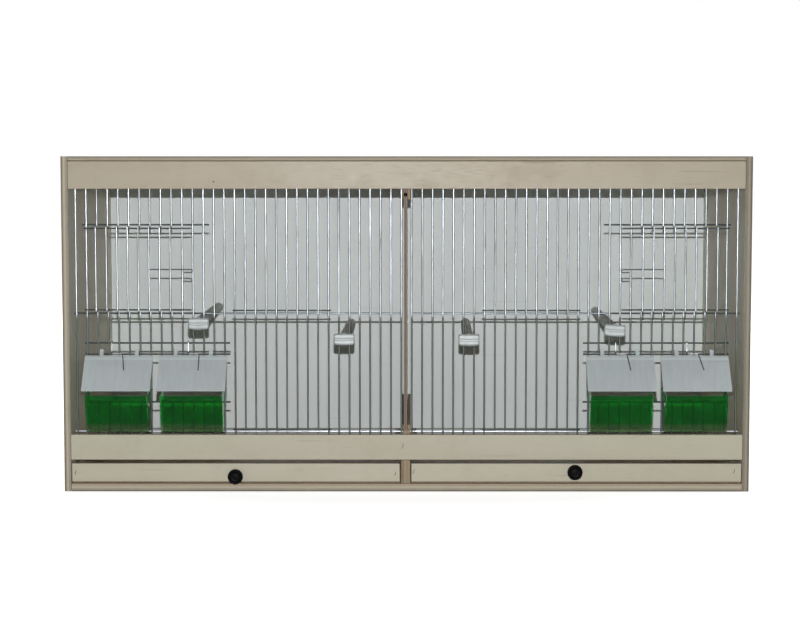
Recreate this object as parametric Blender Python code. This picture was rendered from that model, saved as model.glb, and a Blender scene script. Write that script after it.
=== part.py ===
"""A double breeding cage for small birds: a plywood cabinet with a welded wire front.

Metres, Z up. X runs along the front, -Y faces the viewer, and the origin is the centre of the
base panel's underside. Left and right are as seen from the front.
"""

import math

import bmesh
import bpy
from mathutils import Matrix, Vector

# Cabinet
CAGE_WIDTH = 0.820
CAGE_DEPTH = 0.400
CAGE_HEIGHT = 0.400
SIDE_THICKNESS = 0.008
TOP_THICKNESS = 0.0055
BASE_THICKNESS = 0.0095
BACK_THICKNESS = 0.004
RAIL_THICKNESS = 0.012
TOP_RAIL_HEIGHT = 0.0325
BOTTOM_RAIL_HEIGHT = 0.030
DRAWER_BAY_HEIGHT = 0.0288
GLUE_GAP = 0.0003

# Centre: a post between the drawers, with a channel above and below for the divider
POST_THICKNESS = 0.0116
POST_OFFSET = -0.0012
CHANNEL_WALL = 0.0036
LOWER_CHANNEL_HEIGHT = 0.0058
UPPER_CHANNEL_HEIGHT = 0.0125
DIVIDER_THICKNESS = 0.0036
DIVIDER_CLEARANCE = 0.0004
PULL_HEAD_DIAMETER = 0.0044
PULL_HEAD_LENGTH = 0.003
PULL_SHANK_DIAMETER = 0.0016
PULL_SHANK_LENGTH = 0.008
PULL_DROP = 0.0065

# Drawers
DRAWER_SIDE_CLEARANCE = 0.0012
DRAWER_FRONT_HEIGHT = 0.0218
DRAWER_FRONT_LIFT = 0.0025
DRAWER_FRONT_THICKNESS = 0.009
DRAWER_WALL_THICKNESS = 0.008
DRAWER_WALL_HEIGHT = 0.020
DRAWER_BOTTOM_THICKNESS = 0.003
DRAWER_BACK_CLEARANCE = 0.004
KNOB_DIAMETER = 0.0182
KNOB_LENGTH = 0.013
KNOB_OFFSETS = {"left": (0.0, -0.0039), "right": (-0.0022, 0.0014)}

# Wire front: round wires, counted from the outside inwards on each side
WIRE_DIAMETER = 0.002
WIRE_FACES = 6
WELD_DEPTH = 0.00025
WIRES_PER_SIDE = 32
SIDE_WIRE_CLEARANCE = 0.00825
OUTER_WIRES = 13
OUTER_WIRE_PITCH = 0.01266
WIRE_SEAT = 0.006
GROOVE_CLEARANCE = 0.0004
WIRE_OVERRUN = 0.0012
FOOT_BAR_RISE = 0.0036
SILL_BAR_RISE = 0.0389
LINTEL_BAR_RISE = 0.0962
CLIP_BAR_RISE = 0.1097
MID_BAR_RISE = 0.1452
UPPER_BAR_DROP = 0.0427
FULL_BAR_OVERHANG = 0.003
FEEDER_BAR_OUTER_OVERHANG = 0.0035
FEEDER_BAR_INNER_OVERHANG = 0.0062
UPPER_BAR_OUTER_OVERHANG = 0.005
UPPER_BAR_INNER_OVERHANG = 0.007
CENTRE_BAR_OVERHANG = 0.0015

# Sliding main doors and hinged nest doors
MOVING_WIRE_DIAMETER = 0.0018
WIRE_CLEARANCE = 0.00035
DOOR_WIRE_OVERRUN = 0.0015
MAIN_DOOR_OUTER_GUIDE = 16
MAIN_DOOR_INNER_GUIDE = 25
MAIN_DOOR_TOP_RISE = 0.0036
NEST_DOOR_HINGE_WIRE = 2
NEST_DOOR_LAST_WIRE = 10
NEST_DOOR_STOP_WIRE = 12
NEST_DOOR_EDGE_RISE = 0.0043
NEST_DOOR_WIRE_SHIFT = 0.0014
CATCH_WIRE_DIAMETER = 0.0015
CATCH_RISE = 0.0481
CATCH_FIRST_WIRE = 8
CATCH_LOOP_LENGTH = 0.0095
CATCH_LOOP_RADIUS = 0.0018

# Feeders: a hood that hangs on the lintel bar, a dish that hangs on the sill bar
FEEDER_WIRES = (5, 12)
FEEDER_OPENING_WIRES = 5
HOOD_SPACING = 0.0076
HOOD_END_OVERHANG = 0.001
HOOD_REACH = 0.046
HOOD_DROP = 0.039
HOOD_ROOT_REACH = 0.0064
HOOD_ROOT_DROP = 0.0012
HOOD_WALL = 0.002
HOOD_END_WALL = 0.0016
HOOK_SPREAD = 0.042
HOOK_WIDTH = 0.0045
HOOK_WALL = 0.0024
HOOK_CROWN = 0.0045
HOOK_LEG = 0.0045
DISH_END_CLEARANCE = 0.0009
DISH_WALL = 0.0015
DISH_DEPTH = 0.0335
DISH_FRONT_RISE = 0.011
DISH_END_RISE = 0.017
DISH_FLOOR_REACH = 0.0255
DISH_RIM_REACH = 0.041
DISH_BACK_REACH = 0.0036
RETAINER_DIAMETER = 0.0013
RETAINER_STEP = 0.0132
RETAINER_OFFSETS = (-0.0024, 0.0003, 0.0017, -0.0017)
RETAINER_TAIL_DROP = 0.0165
RETAINER_TAIL_LEANS = (0.0032, 0.0002, 0.0032, 0.0047)

# Perches
PERCH_OUTER_GAP = 12
PERCH_INNER_GAP = 26
PERCH_HEIGHTS = (0.1334, 0.1147, 0.1140, 0.1255)
PERCH_REAR_SHIFTS = (
    (-0.0078, -0.0033),
    (-0.0015, -0.0064),
    (0.0046, -0.0046),
    (0.0073, -0.0010),
)
PERCH_CLIP_TILTS = (0.0, 0.0, 0.0, 3.5)
PERCH_FRONT_DIAMETER = 0.0136
PERCH_REAR_DIAMETER = 0.0122
PERCH_NECK_DIAMETER = 0.0082
PERCH_RIBS = 12
PERCH_RIB_HEIGHT = 0.0004
PERCH_PEG_DIAMETER = 0.004
PERCH_PEG_LENGTH = 0.0034
CLIP_WIDTH = 0.025
CLIP_HEIGHT = 0.013
CLIP_THICKNESS = 0.006
CLIP_GROOVE_DEPTH = 0.0011
CLIP_GROOVE_WIDTH = 0.0015
CLIP_SAG = 0.0009
CLIP_END_ROUNDING = 0.0014
CLIP_NECK_SEAT = 0.004
CLIP_WIRE_CLEARANCE = 0.0008

# Sizes that follow from those above
inner_half_width = CAGE_WIDTH / 2 - SIDE_THICKNESS
front_y = -CAGE_DEPTH / 2
back_y = CAGE_DEPTH / 2
back_inner_y = back_y - BACK_THICKNESS
rail_back_y = front_y + RAIL_THICKNESS
bay_top_z = BASE_THICKNESS + DRAWER_BAY_HEIGHT
bottom_rail_top_z = bay_top_z + BOTTOM_RAIL_HEIGHT
top_panel_z = CAGE_HEIGHT - TOP_THICKNESS
top_rail_bottom_z = top_panel_z - GLUE_GAP - TOP_RAIL_HEIGHT
wire_radius = WIRE_DIAMETER / 2
wire_flat = wire_radius * math.cos(math.pi / WIRE_FACES)
first_wire_x = inner_half_width - SIDE_WIRE_CLEARANCE
last_outer_wire_x = first_wire_x - (OUTER_WIRES - 1) * OUTER_WIRE_PITCH
inner_wire_pitch = last_outer_wire_x / (WIRES_PER_SIDE - OUTER_WIRES + 0.5)
wire_y = front_y + RAIL_THICKNESS / 2
bar_y = wire_y + 2 * wire_flat - WELD_DEPTH
foot_bar_z = bottom_rail_top_z + FOOT_BAR_RISE
sill_bar_z = bottom_rail_top_z + SILL_BAR_RISE
lintel_bar_z = bottom_rail_top_z + LINTEL_BAR_RISE
clip_bar_z = bottom_rail_top_z + CLIP_BAR_RISE
mid_bar_z = bottom_rail_top_z + MID_BAR_RISE
upper_bar_z = top_rail_bottom_z - UPPER_BAR_DROP
moving_radius = MOVING_WIRE_DIAMETER / 2
moving_flat = moving_radius * math.cos(math.pi / WIRE_FACES)
eye_radius = wire_radius + WIRE_CLEARANCE + moving_radius
door_bar_y = wire_y - eye_radius
door_wire_y = door_bar_y - 2 * moving_flat + WELD_DEPTH

SIDES = {"left": -1, "right": 1}

for existing in list(bpy.data.objects):
    bpy.data.objects.remove(existing, do_unlink=True)


def make_material(name, colour, roughness, metallic=0.0, transmission=0.0):
    """A Principled material in one plain colour."""
    material = bpy.data.materials.new(name)
    material.use_nodes = True
    shader = material.node_tree.nodes["Principled BSDF"]
    shader.inputs["Base Color"].default_value = (*colour, 1.0)
    shader.inputs["Roughness"].default_value = roughness
    shader.inputs["Metallic"].default_value = metallic
    shader.inputs["Transmission Weight"].default_value = transmission
    return material


plywood = make_material("birch_plywood", (0.46, 0.42, 0.31), 0.6)
white_board = make_material("white_faced_board", (0.52, 0.55, 0.53), 0.5)
steel_wire = make_material("galvanised_wire", (0.55, 0.57, 0.58), 0.3, metallic=1.0)
spring_wire = make_material("spring_wire", (0.45, 0.46, 0.47), 0.35, metallic=1.0)
black_plastic = make_material("black_plastic", (0.012, 0.012, 0.012), 0.35)
hood_plastic = make_material("hood_plastic", (0.42, 0.46, 0.48), 0.4)
green_plastic = make_material("green_plastic", (0.01, 0.16, 0.02), 0.15, transmission=0.6)
perch_plastic = make_material("perch_plastic", (0.2, 0.2, 0.19), 0.6)
clip_plastic = make_material("clip_plastic", (0.62, 0.65, 0.66), 0.4)


def add_object(name, mesh_builder, material, smooth=False):
    """Turns a bmesh into a named object with its material."""
    bmesh.ops.recalc_face_normals(mesh_builder, faces=mesh_builder.faces)
    mesh = bpy.data.meshes.new(name)
    mesh_builder.to_mesh(mesh)
    mesh_builder.free()
    if smooth:
        mesh.shade_smooth()
        mesh.set_sharp_from_angle(angle=math.radians(40))
    mesh.materials.append(material)
    made = bpy.data.objects.new(name, mesh)
    bpy.context.scene.collection.objects.link(made)
    return made


def add_cutter(name, mesh_builder):
    """A hidden shape for a Boolean to read."""
    cutter = add_object(name, mesh_builder, plywood)
    cutter.hide_render = True
    cutter.display_type = "WIRE"
    return cutter


def apply_boolean(target, cutter, operation):
    modifier = target.modifiers.new(cutter.name, "BOOLEAN")
    modifier.operation = operation
    modifier.object = cutter


def group_under(name, point, pieces):
    """Parents pieces to an empty at a point on their joint's axis."""
    empty = bpy.data.objects.new(name, None)
    empty.location = point
    empty.empty_display_size = 0.02
    bpy.context.scene.collection.objects.link(empty)
    for piece in pieces:
        piece.parent = empty
        piece.matrix_parent_inverse = Matrix.Translation(-Vector(point))
    return empty


def add_box(mesh_builder, low, high):
    """A box between two corners."""
    corners = [
        mesh_builder.verts.new((x, y, z))
        for x in (low[0], high[0])
        for y in (low[1], high[1])
        for z in (low[2], high[2])
    ]
    for face in ((0, 1, 3, 2), (4, 6, 7, 5), (0, 4, 5, 1), (2, 3, 7, 6), (0, 2, 6, 4), (1, 5, 7, 3)):
        mesh_builder.faces.new([corners[i] for i in face])


def board(name, low, high, material=None):
    """A flat board between two corners."""
    builder = bmesh.new()
    add_box(builder, low, high)
    return add_object(name, builder, material or plywood)


def add_prism(mesh_builder, outline, start, end):
    """An outline of (y, z) points, extruded along X."""
    near = [mesh_builder.verts.new((start, y, z)) for y, z in outline]
    far = [mesh_builder.verts.new((end, y, z)) for y, z in outline]
    mesh_builder.faces.new(near)
    mesh_builder.faces.new(far[::-1])
    count = len(outline)
    for i in range(count):
        j = (i + 1) % count
        mesh_builder.faces.new((near[i], far[i], far[j], near[j]))


def add_rings(mesh_builder, rings):
    """Joins rings of points into one closed tube with flat ends."""
    loops = [[mesh_builder.verts.new(point) for point in ring] for ring in rings]
    count = len(loops[0])
    for near, far in zip(loops, loops[1:]):
        for i in range(count):
            j = (i + 1) % count
            mesh_builder.faces.new((near[i], near[j], far[j], far[i]))
    mesh_builder.faces.new(loops[0][::-1])
    mesh_builder.faces.new(loops[-1])


def add_wire(mesh_builder, path, radius, reference, sides=WIRE_FACES):
    """Sweeps a round wire along a path. The reference direction sets where its first corner lies."""
    points = [Vector(point) for point in path]
    across = Vector(reference)
    rings = []
    for i, point in enumerate(points):
        ahead = points[min(i + 1, len(points) - 1)] - point
        behind = point - points[max(i - 1, 0)]
        tangent = (ahead.normalized() + behind.normalized()).normalized()
        across = (across - across.dot(tangent) * tangent).normalized()
        other = tangent.cross(across)
        rings.append(
            [
                point
                + radius * math.cos(2 * math.pi * k / sides) * across
                + radius * math.sin(2 * math.pi * k / sides) * other
                for k in range(sides)
            ]
        )
    add_rings(mesh_builder, rings)


def arc_xy(centre_x, centre_y, z, radius, start, end, steps):
    """Points of an arc in a level plane, with its angles in degrees."""
    angles = [math.radians(start + (end - start) * i / steps) for i in range(steps + 1)]
    return [(centre_x + radius * math.cos(a), centre_y + radius * math.sin(a), z) for a in angles]


def add_turned(mesh_builder, profile, start, axis, sides):
    """Turns a profile of (radius, distance) points about an axis through a start point."""
    direction = Vector(axis).normalized()
    across = direction.orthogonal().normalized()
    other = direction.cross(across)
    rings = []
    for radius, distance in profile:
        centre = Vector(start) + distance * direction
        rings.append(
            [
                centre
                + radius * math.cos(2 * math.pi * k / sides) * across
                + radius * math.sin(2 * math.pi * k / sides) * other
                for k in range(sides)
            ]
        )
    add_rings(mesh_builder, rings)


def wire_x(side, number):
    """Where a front wire stands, counted from the outside inwards."""
    if number <= OUTER_WIRES:
        return side * (first_wire_x - (number - 1) * OUTER_WIRE_PITCH)
    return side * (last_outer_wire_x - (number - OUTER_WIRES) * inner_wire_pitch)


# Cabinet panels: two sides outside everything, with the top, base and back between them
for side_name, side in SIDES.items():
    outer = side * CAGE_WIDTH / 2
    inner = side * inner_half_width
    board(
        "side_panel_" + side_name,
        (min(outer, inner), front_y, 0),
        (max(outer, inner), back_y, CAGE_HEIGHT),
    )

panel_half_width = inner_half_width - GLUE_GAP
board(
    "base_panel",
    (-panel_half_width, front_y, 0),
    (panel_half_width, back_y, BASE_THICKNESS),
)
board(
    "top_panel",
    (-panel_half_width, front_y, top_panel_z),
    (panel_half_width, back_y, CAGE_HEIGHT),
)

# Rails across the front, each with a groove that the wires stand in
groove_half_width = wire_radius + GROOVE_CLEARANCE
groove_depth = WIRE_SEAT + GLUE_GAP


def rail_outline(low_z, high_z, groove_at_top):
    """A rail's end, as (y, z) points, with its groove in the top or the bottom edge."""
    edge_z = high_z if groove_at_top else low_z
    floor_z = edge_z - groove_depth if groove_at_top else edge_z + groove_depth
    plain_z = low_z if groove_at_top else high_z
    return [
        (front_y, plain_z),
        (rail_back_y, plain_z),
        (rail_back_y, edge_z),
        (wire_y + groove_half_width, edge_z),
        (wire_y + groove_half_width, floor_z),
        (wire_y - groove_half_width, floor_z),
        (wire_y - groove_half_width, edge_z),
        (front_y, edge_z),
    ]


rail_builder = bmesh.new()
rail = rail_outline(bay_top_z, bottom_rail_top_z, groove_at_top=True)
add_prism(rail_builder, rail, -panel_half_width, panel_half_width)
add_object("bottom_rail", rail_builder, plywood)

rail_builder = bmesh.new()
rail = rail_outline(top_rail_bottom_z, top_panel_z - GLUE_GAP, groove_at_top=False)
add_prism(rail_builder, rail, -panel_half_width, panel_half_width)
add_object("top_rail", rail_builder, plywood)

# Centre post, notched at the front for the bottom rail, and the header above the divider
post_low_x = POST_OFFSET - POST_THICKNESS / 2
post_high_x = POST_OFFSET + POST_THICKNESS / 2
post_back_y = back_inner_y - GLUE_GAP
notch_y = rail_back_y + GLUE_GAP
lower_channel_z = foot_bar_z + wire_radius + GLUE_GAP

post_builder = bmesh.new()
post_outline = [
    (front_y, BASE_THICKNESS + GLUE_GAP),
    (post_back_y, BASE_THICKNESS + GLUE_GAP),
    (post_back_y, lower_channel_z),
    (notch_y, lower_channel_z),
    (notch_y, bay_top_z - GLUE_GAP),
    (front_y, bay_top_z - GLUE_GAP),
]
add_prism(post_builder, post_outline, post_low_x, post_high_x)
add_object("centre_post", post_builder, plywood)

board(
    "centre_header",
    (post_low_x, notch_y, top_rail_bottom_z),
    (post_high_x, post_back_y, top_panel_z - GLUE_GAP),
)

for side_name, side in SIDES.items():
    outer = post_low_x if side < 0 else post_high_x
    inner = outer - side * CHANNEL_WALL
    low_x, high_x = min(outer, inner), max(outer, inner)
    lower_z = lower_channel_z + GLUE_GAP
    board(
        "lower_guide_" + side_name,
        (low_x, notch_y, lower_z),
        (high_x, post_back_y, lower_z + LOWER_CHANNEL_HEIGHT),
    )
    upper_z = top_rail_bottom_z - GLUE_GAP
    board(
        "upper_guide_" + side_name,
        (low_x, notch_y, upper_z - UPPER_CHANNEL_HEIGHT),
        (high_x, post_back_y, upper_z),
    )

# Divider: slides out of the front between the two middle wires, with a black pin to pull it by
divider_front_y = wire_y - wire_radius - 2 * WIRE_CLEARANCE
divider_low_z = lower_channel_z + DIVIDER_CLEARANCE
divider_high_z = top_rail_bottom_z - DIVIDER_CLEARANCE
pull_point = Vector((POST_OFFSET, divider_front_y, divider_high_z - PULL_DROP))

divider = board(
    "divider",
    (POST_OFFSET - DIVIDER_THICKNESS / 2, divider_front_y, divider_low_z),
    (POST_OFFSET + DIVIDER_THICKNESS / 2, post_back_y, divider_high_z),
)
hole_builder = bmesh.new()
hole_radius = PULL_SHANK_DIAMETER / 2 + GLUE_GAP
hole_profile = [(hole_radius, -GLUE_GAP), (hole_radius, PULL_SHANK_LENGTH + GLUE_GAP)]
add_turned(hole_builder, hole_profile, pull_point, (0, 1, 0), 12)
apply_boolean(divider, add_cutter("pull_hole", hole_builder), "DIFFERENCE")

pull_builder = bmesh.new()
head_radius = PULL_HEAD_DIAMETER / 2
pull_profile = [
    (head_radius * 0.55, -GLUE_GAP - PULL_HEAD_LENGTH),
    (head_radius, -GLUE_GAP - PULL_HEAD_LENGTH * 0.65),
    (head_radius, -GLUE_GAP),
    (PULL_SHANK_DIAMETER / 2, -GLUE_GAP),
    (PULL_SHANK_DIAMETER / 2, PULL_SHANK_LENGTH),
]
add_turned(pull_builder, pull_profile, pull_point, (0, 1, 0), 16)
divider_pull = add_object("divider_pull", pull_builder, black_plastic, smooth=True)
group_under("divider_slide", tuple(pull_point), (divider, divider_pull))

# Back panel, between the sides, with a hole for the peg on the end of each perch
back = board(
    "back_panel",
    (-panel_half_width, back_inner_y, BASE_THICKNESS + GLUE_GAP),
    (panel_half_width, back_y, top_panel_z - GLUE_GAP),
    white_board,
)

# Drawers: plywood fronts stapled to a low box that slides on the base
drawer_low_z = BASE_THICKNESS + GLUE_GAP
drawer_wall_z = drawer_low_z + DRAWER_BOTTOM_THICKNESS + GLUE_GAP
drawer_front_z = BASE_THICKNESS + DRAWER_FRONT_LIFT
drawer_wall_top_z = drawer_wall_z + DRAWER_WALL_HEIGHT
drawer_front_back_y = front_y + DRAWER_FRONT_THICKNESS
drawer_box_front_y = drawer_front_back_y + GLUE_GAP
drawer_back_y = back_inner_y - DRAWER_BACK_CLEARANCE

knob_radius = KNOB_DIAMETER / 2
knob_profile = [
    (knob_radius * 0.5, 0),
    (knob_radius * 0.5, KNOB_LENGTH * 0.3),
    (knob_radius * 0.86, KNOB_LENGTH * 0.4),
    (knob_radius, KNOB_LENGTH * 0.58),
    (knob_radius, KNOB_LENGTH * 0.82),
    (knob_radius * 0.88, KNOB_LENGTH),
    (knob_radius * 0.7, KNOB_LENGTH),
    (knob_radius * 0.62, KNOB_LENGTH * 0.86),
    (knob_radius * 0.3, KNOB_LENGTH * 0.84),
]

for side_name, side in SIDES.items():
    wall_x = side * (inner_half_width - DRAWER_SIDE_CLEARANCE)
    post_x = (post_low_x if side < 0 else post_high_x) + side * DRAWER_SIDE_CLEARANCE
    low_x, high_x = min(wall_x, post_x), max(wall_x, post_x)
    pieces = [
        board(
            f"drawer_front_{side_name}",
            (low_x, front_y, drawer_front_z),
            (high_x, drawer_front_back_y, drawer_front_z + DRAWER_FRONT_HEIGHT),
        ),
        board(
            f"drawer_bottom_{side_name}",
            (low_x, drawer_box_front_y, drawer_low_z),
            (high_x, drawer_back_y, drawer_low_z + DRAWER_BOTTOM_THICKNESS),
            white_board,
        ),
        board(
            f"drawer_outer_wall_{side_name}",
            (min(wall_x, wall_x - side * DRAWER_WALL_THICKNESS), drawer_box_front_y, drawer_wall_z),
            (max(wall_x, wall_x - side * DRAWER_WALL_THICKNESS), drawer_back_y, drawer_wall_top_z),
        ),
        board(
            f"drawer_inner_wall_{side_name}",
            (min(post_x, post_x + side * DRAWER_WALL_THICKNESS), drawer_box_front_y, drawer_wall_z),
            (max(post_x, post_x + side * DRAWER_WALL_THICKNESS), drawer_back_y, drawer_wall_top_z),
        ),
        board(
            f"drawer_back_wall_{side_name}",
            (low_x + DRAWER_WALL_THICKNESS + GLUE_GAP, drawer_back_y - DRAWER_WALL_THICKNESS, drawer_wall_z),
            (high_x - DRAWER_WALL_THICKNESS - GLUE_GAP, drawer_back_y, drawer_wall_top_z),
        ),
    ]
    across, up = KNOB_OFFSETS[side_name]
    knob_z = drawer_front_z + DRAWER_FRONT_HEIGHT / 2 + up
    knob_point = ((low_x + high_x) / 2 + across, front_y - GLUE_GAP, knob_z)
    knob_builder = bmesh.new()
    add_turned(knob_builder, knob_profile, knob_point, (0, -1, 0), 24)
    pieces.append(add_object(f"drawer_knob_{side_name}", knob_builder, black_plastic, smooth=True))
    group_under(f"drawer_slide_{side_name}", knob_point, pieces)

# Wire fronts: one welded grid for each half, so that the divider can slide out between them. Upright
# wires are welded on the front of level bars, with gaps cut for every door.
upright_low_z = bottom_rail_top_z - WIRE_SEAT
upright_high_z = top_rail_bottom_z + WIRE_SEAT
half_opening = FEEDER_OPENING_WIRES // 2
main_door_wires = range(MAIN_DOOR_OUTER_GUIDE + 1, MAIN_DOOR_INNER_GUIDE)
nest_door_wires = range(NEST_DOOR_HINGE_WIRE + 1, NEST_DOOR_LAST_WIRE + 1)


def upright_spans(number):
    """The stretches, as (low, high), that one upright wire fills between rail and rail."""
    spans = []
    low_z = upright_low_z
    if number in main_door_wires:
        low_z = mid_bar_z - WIRE_OVERRUN
    if any(abs(number - centre) <= half_opening for centre in FEEDER_WIRES):
        spans.append((low_z, sill_bar_z + WIRE_OVERRUN))
        low_z = lintel_bar_z - WIRE_OVERRUN
    if number in nest_door_wires:
        spans.append((low_z, mid_bar_z + WIRE_OVERRUN))
        low_z = upper_bar_z - WIRE_OVERRUN
    spans.append((low_z, upright_high_z))
    return spans


last_feeder_wire = FEEDER_WIRES[-1] + half_opening + 1
for side_name, side in SIDES.items():
    uprights = bmesh.new()
    for number in range(1, WIRES_PER_SIDE + 1):
        x = wire_x(side, number)
        for low_z, high_z in upright_spans(number):
            add_wire(uprights, [(x, wire_y, low_z), (x, wire_y, high_z)], wire_radius, (1, 0, 0))
    full_bar = (
        wire_x(side, 1) + side * FULL_BAR_OVERHANG,
        wire_x(side, WIRES_PER_SIDE) - side * CENTRE_BAR_OVERHANG,
    )
    feeder_bar = (
        wire_x(side, 2) + side * FEEDER_BAR_OUTER_OVERHANG,
        wire_x(side, last_feeder_wire) - side * FEEDER_BAR_INNER_OVERHANG,
    )
    upper_bar = (
        wire_x(side, NEST_DOOR_HINGE_WIRE) + side * UPPER_BAR_OUTER_OVERHANG,
        wire_x(side, NEST_DOOR_STOP_WIRE + 1) - side * UPPER_BAR_INNER_OVERHANG,
    )
    bars = bmesh.new()
    for (start_x, end_x), z in (
        (full_bar, foot_bar_z),
        (feeder_bar, sill_bar_z),
        (feeder_bar, lintel_bar_z),
        (feeder_bar, clip_bar_z),
        (full_bar, mid_bar_z),
        (upper_bar, upper_bar_z),
    ):
        add_wire(bars, [(start_x, bar_y, z), (end_x, bar_y, z)], wire_radius, (0, 0, 1))
    wire_front = add_object(f"wire_front_{side_name}", uprights, steel_wire, smooth=True)
    apply_boolean(wire_front, add_cutter(f"wire_front_bars_{side_name}", bars), "UNION")

# Main doors: slide up the front on hooks bent round two upright wires
main_door_low_z = foot_bar_z + 2 * wire_radius + WIRE_CLEARANCE
main_door_high_z = mid_bar_z + MAIN_DOOR_TOP_RISE
hook_start, hook_turn, hook_steps = -90, 190, 9

for side_name, side in SIDES.items():
    outer_x = wire_x(side, MAIN_DOOR_OUTER_GUIDE)
    inner_x = wire_x(side, MAIN_DOOR_INNER_GUIDE)
    left_x, right_x = min(outer_x, inner_x), max(outer_x, inner_x)
    door_uprights = bmesh.new()
    door_bars = bmesh.new()
    for number in main_door_wires:
        x = wire_x(side, number)
        ends = [main_door_low_z - DOOR_WIRE_OVERRUN, main_door_high_z + DOOR_WIRE_OVERRUN]
        add_wire(door_uprights, [(x, door_wire_y, z) for z in ends], moving_radius, (1, 0, 0))
    for z in (main_door_low_z, main_door_high_z):
        left_hook = arc_xy(
            left_x, wire_y, z, eye_radius, hook_start - hook_turn, hook_start, hook_steps
        )
        right_hook = arc_xy(
            right_x, wire_y, z, eye_radius, hook_start, hook_start + hook_turn, hook_steps
        )
        add_wire(door_bars, left_hook + right_hook, moving_radius, (0, 0, 1))
    door = add_object(f"main_door_{side_name}", door_uprights, steel_wire, smooth=True)
    apply_boolean(door, add_cutter(f"main_door_bars_{side_name}", door_bars), "UNION")
    group_under(f"main_door_slide_{side_name}", ((left_x + right_x) / 2, wire_y, main_door_low_z), [door])

# Nest doors: swing on eyes bent round an upright wire, each with a wire catch across its stop
nest_door_low_z = mid_bar_z + NEST_DOOR_EDGE_RISE
nest_door_high_z = upper_bar_z - NEST_DOOR_EDGE_RISE
hinge_turn, hinge_steps = 250, 10
catch_radius = CATCH_WIRE_DIAMETER / 2
catch_z = nest_door_low_z + CATCH_RISE

for side_name, side in SIDES.items():
    hinge_x = wire_x(side, NEST_DOOR_HINGE_WIRE)
    free_x = wire_x(side, NEST_DOOR_STOP_WIRE) + side * (wire_radius + 2 * WIRE_CLEARANCE)
    door_uprights = bmesh.new()
    door_bars = bmesh.new()
    for number in nest_door_wires:
        x = wire_x(side, number) + side * NEST_DOOR_WIRE_SHIFT
        ends = [nest_door_low_z - DOOR_WIRE_OVERRUN, nest_door_high_z + DOOR_WIRE_OVERRUN]
        add_wire(door_uprights, [(x, door_wire_y, z) for z in ends], moving_radius, (1, 0, 0))
    for z in (nest_door_low_z, nest_door_high_z):
        eye = arc_xy(
            hinge_x, wire_y, z, eye_radius, -90, -90 + side * hinge_turn, hinge_steps
        )
        add_wire(door_bars, [(free_x, door_bar_y, z)] + eye, moving_radius, (0, 0, 1))
    door = add_object(f"nest_door_{side_name}", door_uprights, steel_wire, smooth=True)
    apply_boolean(door, add_cutter(f"nest_door_bars_{side_name}", door_bars), "UNION")

    catch_y = door_wire_y + moving_flat + GLUE_GAP + catch_radius
    start_x = wire_x(side, CATCH_FIRST_WIRE) + side * 2 * NEST_DOOR_WIRE_SHIFT
    tip_x = wire_x(side, NEST_DOOR_STOP_WIRE) + side * (wire_radius + CATCH_LOOP_RADIUS)
    catch_path = [(start_x, catch_y, catch_z)]
    for i in range(9):
        angle = math.radians(90 - 22.5 * i)
        across = CATCH_LOOP_RADIUS * math.cos(angle)
        down = CATCH_LOOP_RADIUS * (1 - math.sin(angle))
        catch_path.append((tip_x - side * across, catch_y, catch_z - down))
    heel_x = tip_x + side * (CATCH_LOOP_LENGTH - CATCH_LOOP_RADIUS)
    catch_path.append((heel_x, catch_y, catch_z - 2 * CATCH_LOOP_RADIUS))
    catch_builder = bmesh.new()
    add_wire(catch_builder, catch_path, catch_radius, (0, 1, 0))
    catch = add_object(f"nest_door_catch_{side_name}", catch_builder, spring_wire, smooth=True)
    group_under(f"nest_door_hinge_{side_name}", (hinge_x, wire_y, nest_door_low_z), [door, catch])

# Feeders: each hood hangs by two hooks, its dish by two more, and a wire clip rests on its roof
feeder_pitch = wire_x(1, FEEDER_WIRES[0]) - wire_x(1, FEEDER_WIRES[1])
hood_half_width = (feeder_pitch - HOOD_SPACING) / 2
end_wall_x = hood_half_width - HOOD_END_OVERHANG
dish_half_width = end_wall_x - HOOD_END_WALL - DISH_END_CLEARANCE
hook_inner_radius = wire_radius + WIRE_CLEARANCE
hook_outer_radius = hook_inner_radius + HOOK_WALL
roof_slope = math.atan2(HOOD_DROP - HOOD_ROOT_DROP, HOOD_REACH - HOOD_ROOT_REACH)


def outwards(reach, rise, z):
    """A (y, z) point at a reach in front of the level bars and a rise over one of them."""
    return (bar_y - reach, z + rise)


def hook_arc(radius, start, end, steps, z):
    """Part of a circle round a level bar, from the front over the top, in degrees."""
    angles = [math.radians(start + (end - start) * i / steps) for i in range(steps + 1)]
    return [outwards(radius * math.cos(a), radius * math.sin(a), z) for a in angles]


def hood_outline():
    """The roof's slab, from its root by the bar down to its lower edge."""
    back_off = (HOOD_WALL * math.sin(roof_slope), HOOD_WALL * math.cos(roof_slope))
    root = (HOOD_ROOT_REACH, -HOOD_ROOT_DROP)
    edge = (HOOD_REACH, -HOOD_DROP)
    return [
        outwards(*root, lintel_bar_z),
        outwards(*edge, lintel_bar_z),
        outwards(edge[0] - back_off[0], edge[1] - back_off[1], lintel_bar_z),
        outwards(root[0] - back_off[0], root[1] - back_off[1], lintel_bar_z),
    ]


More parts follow.
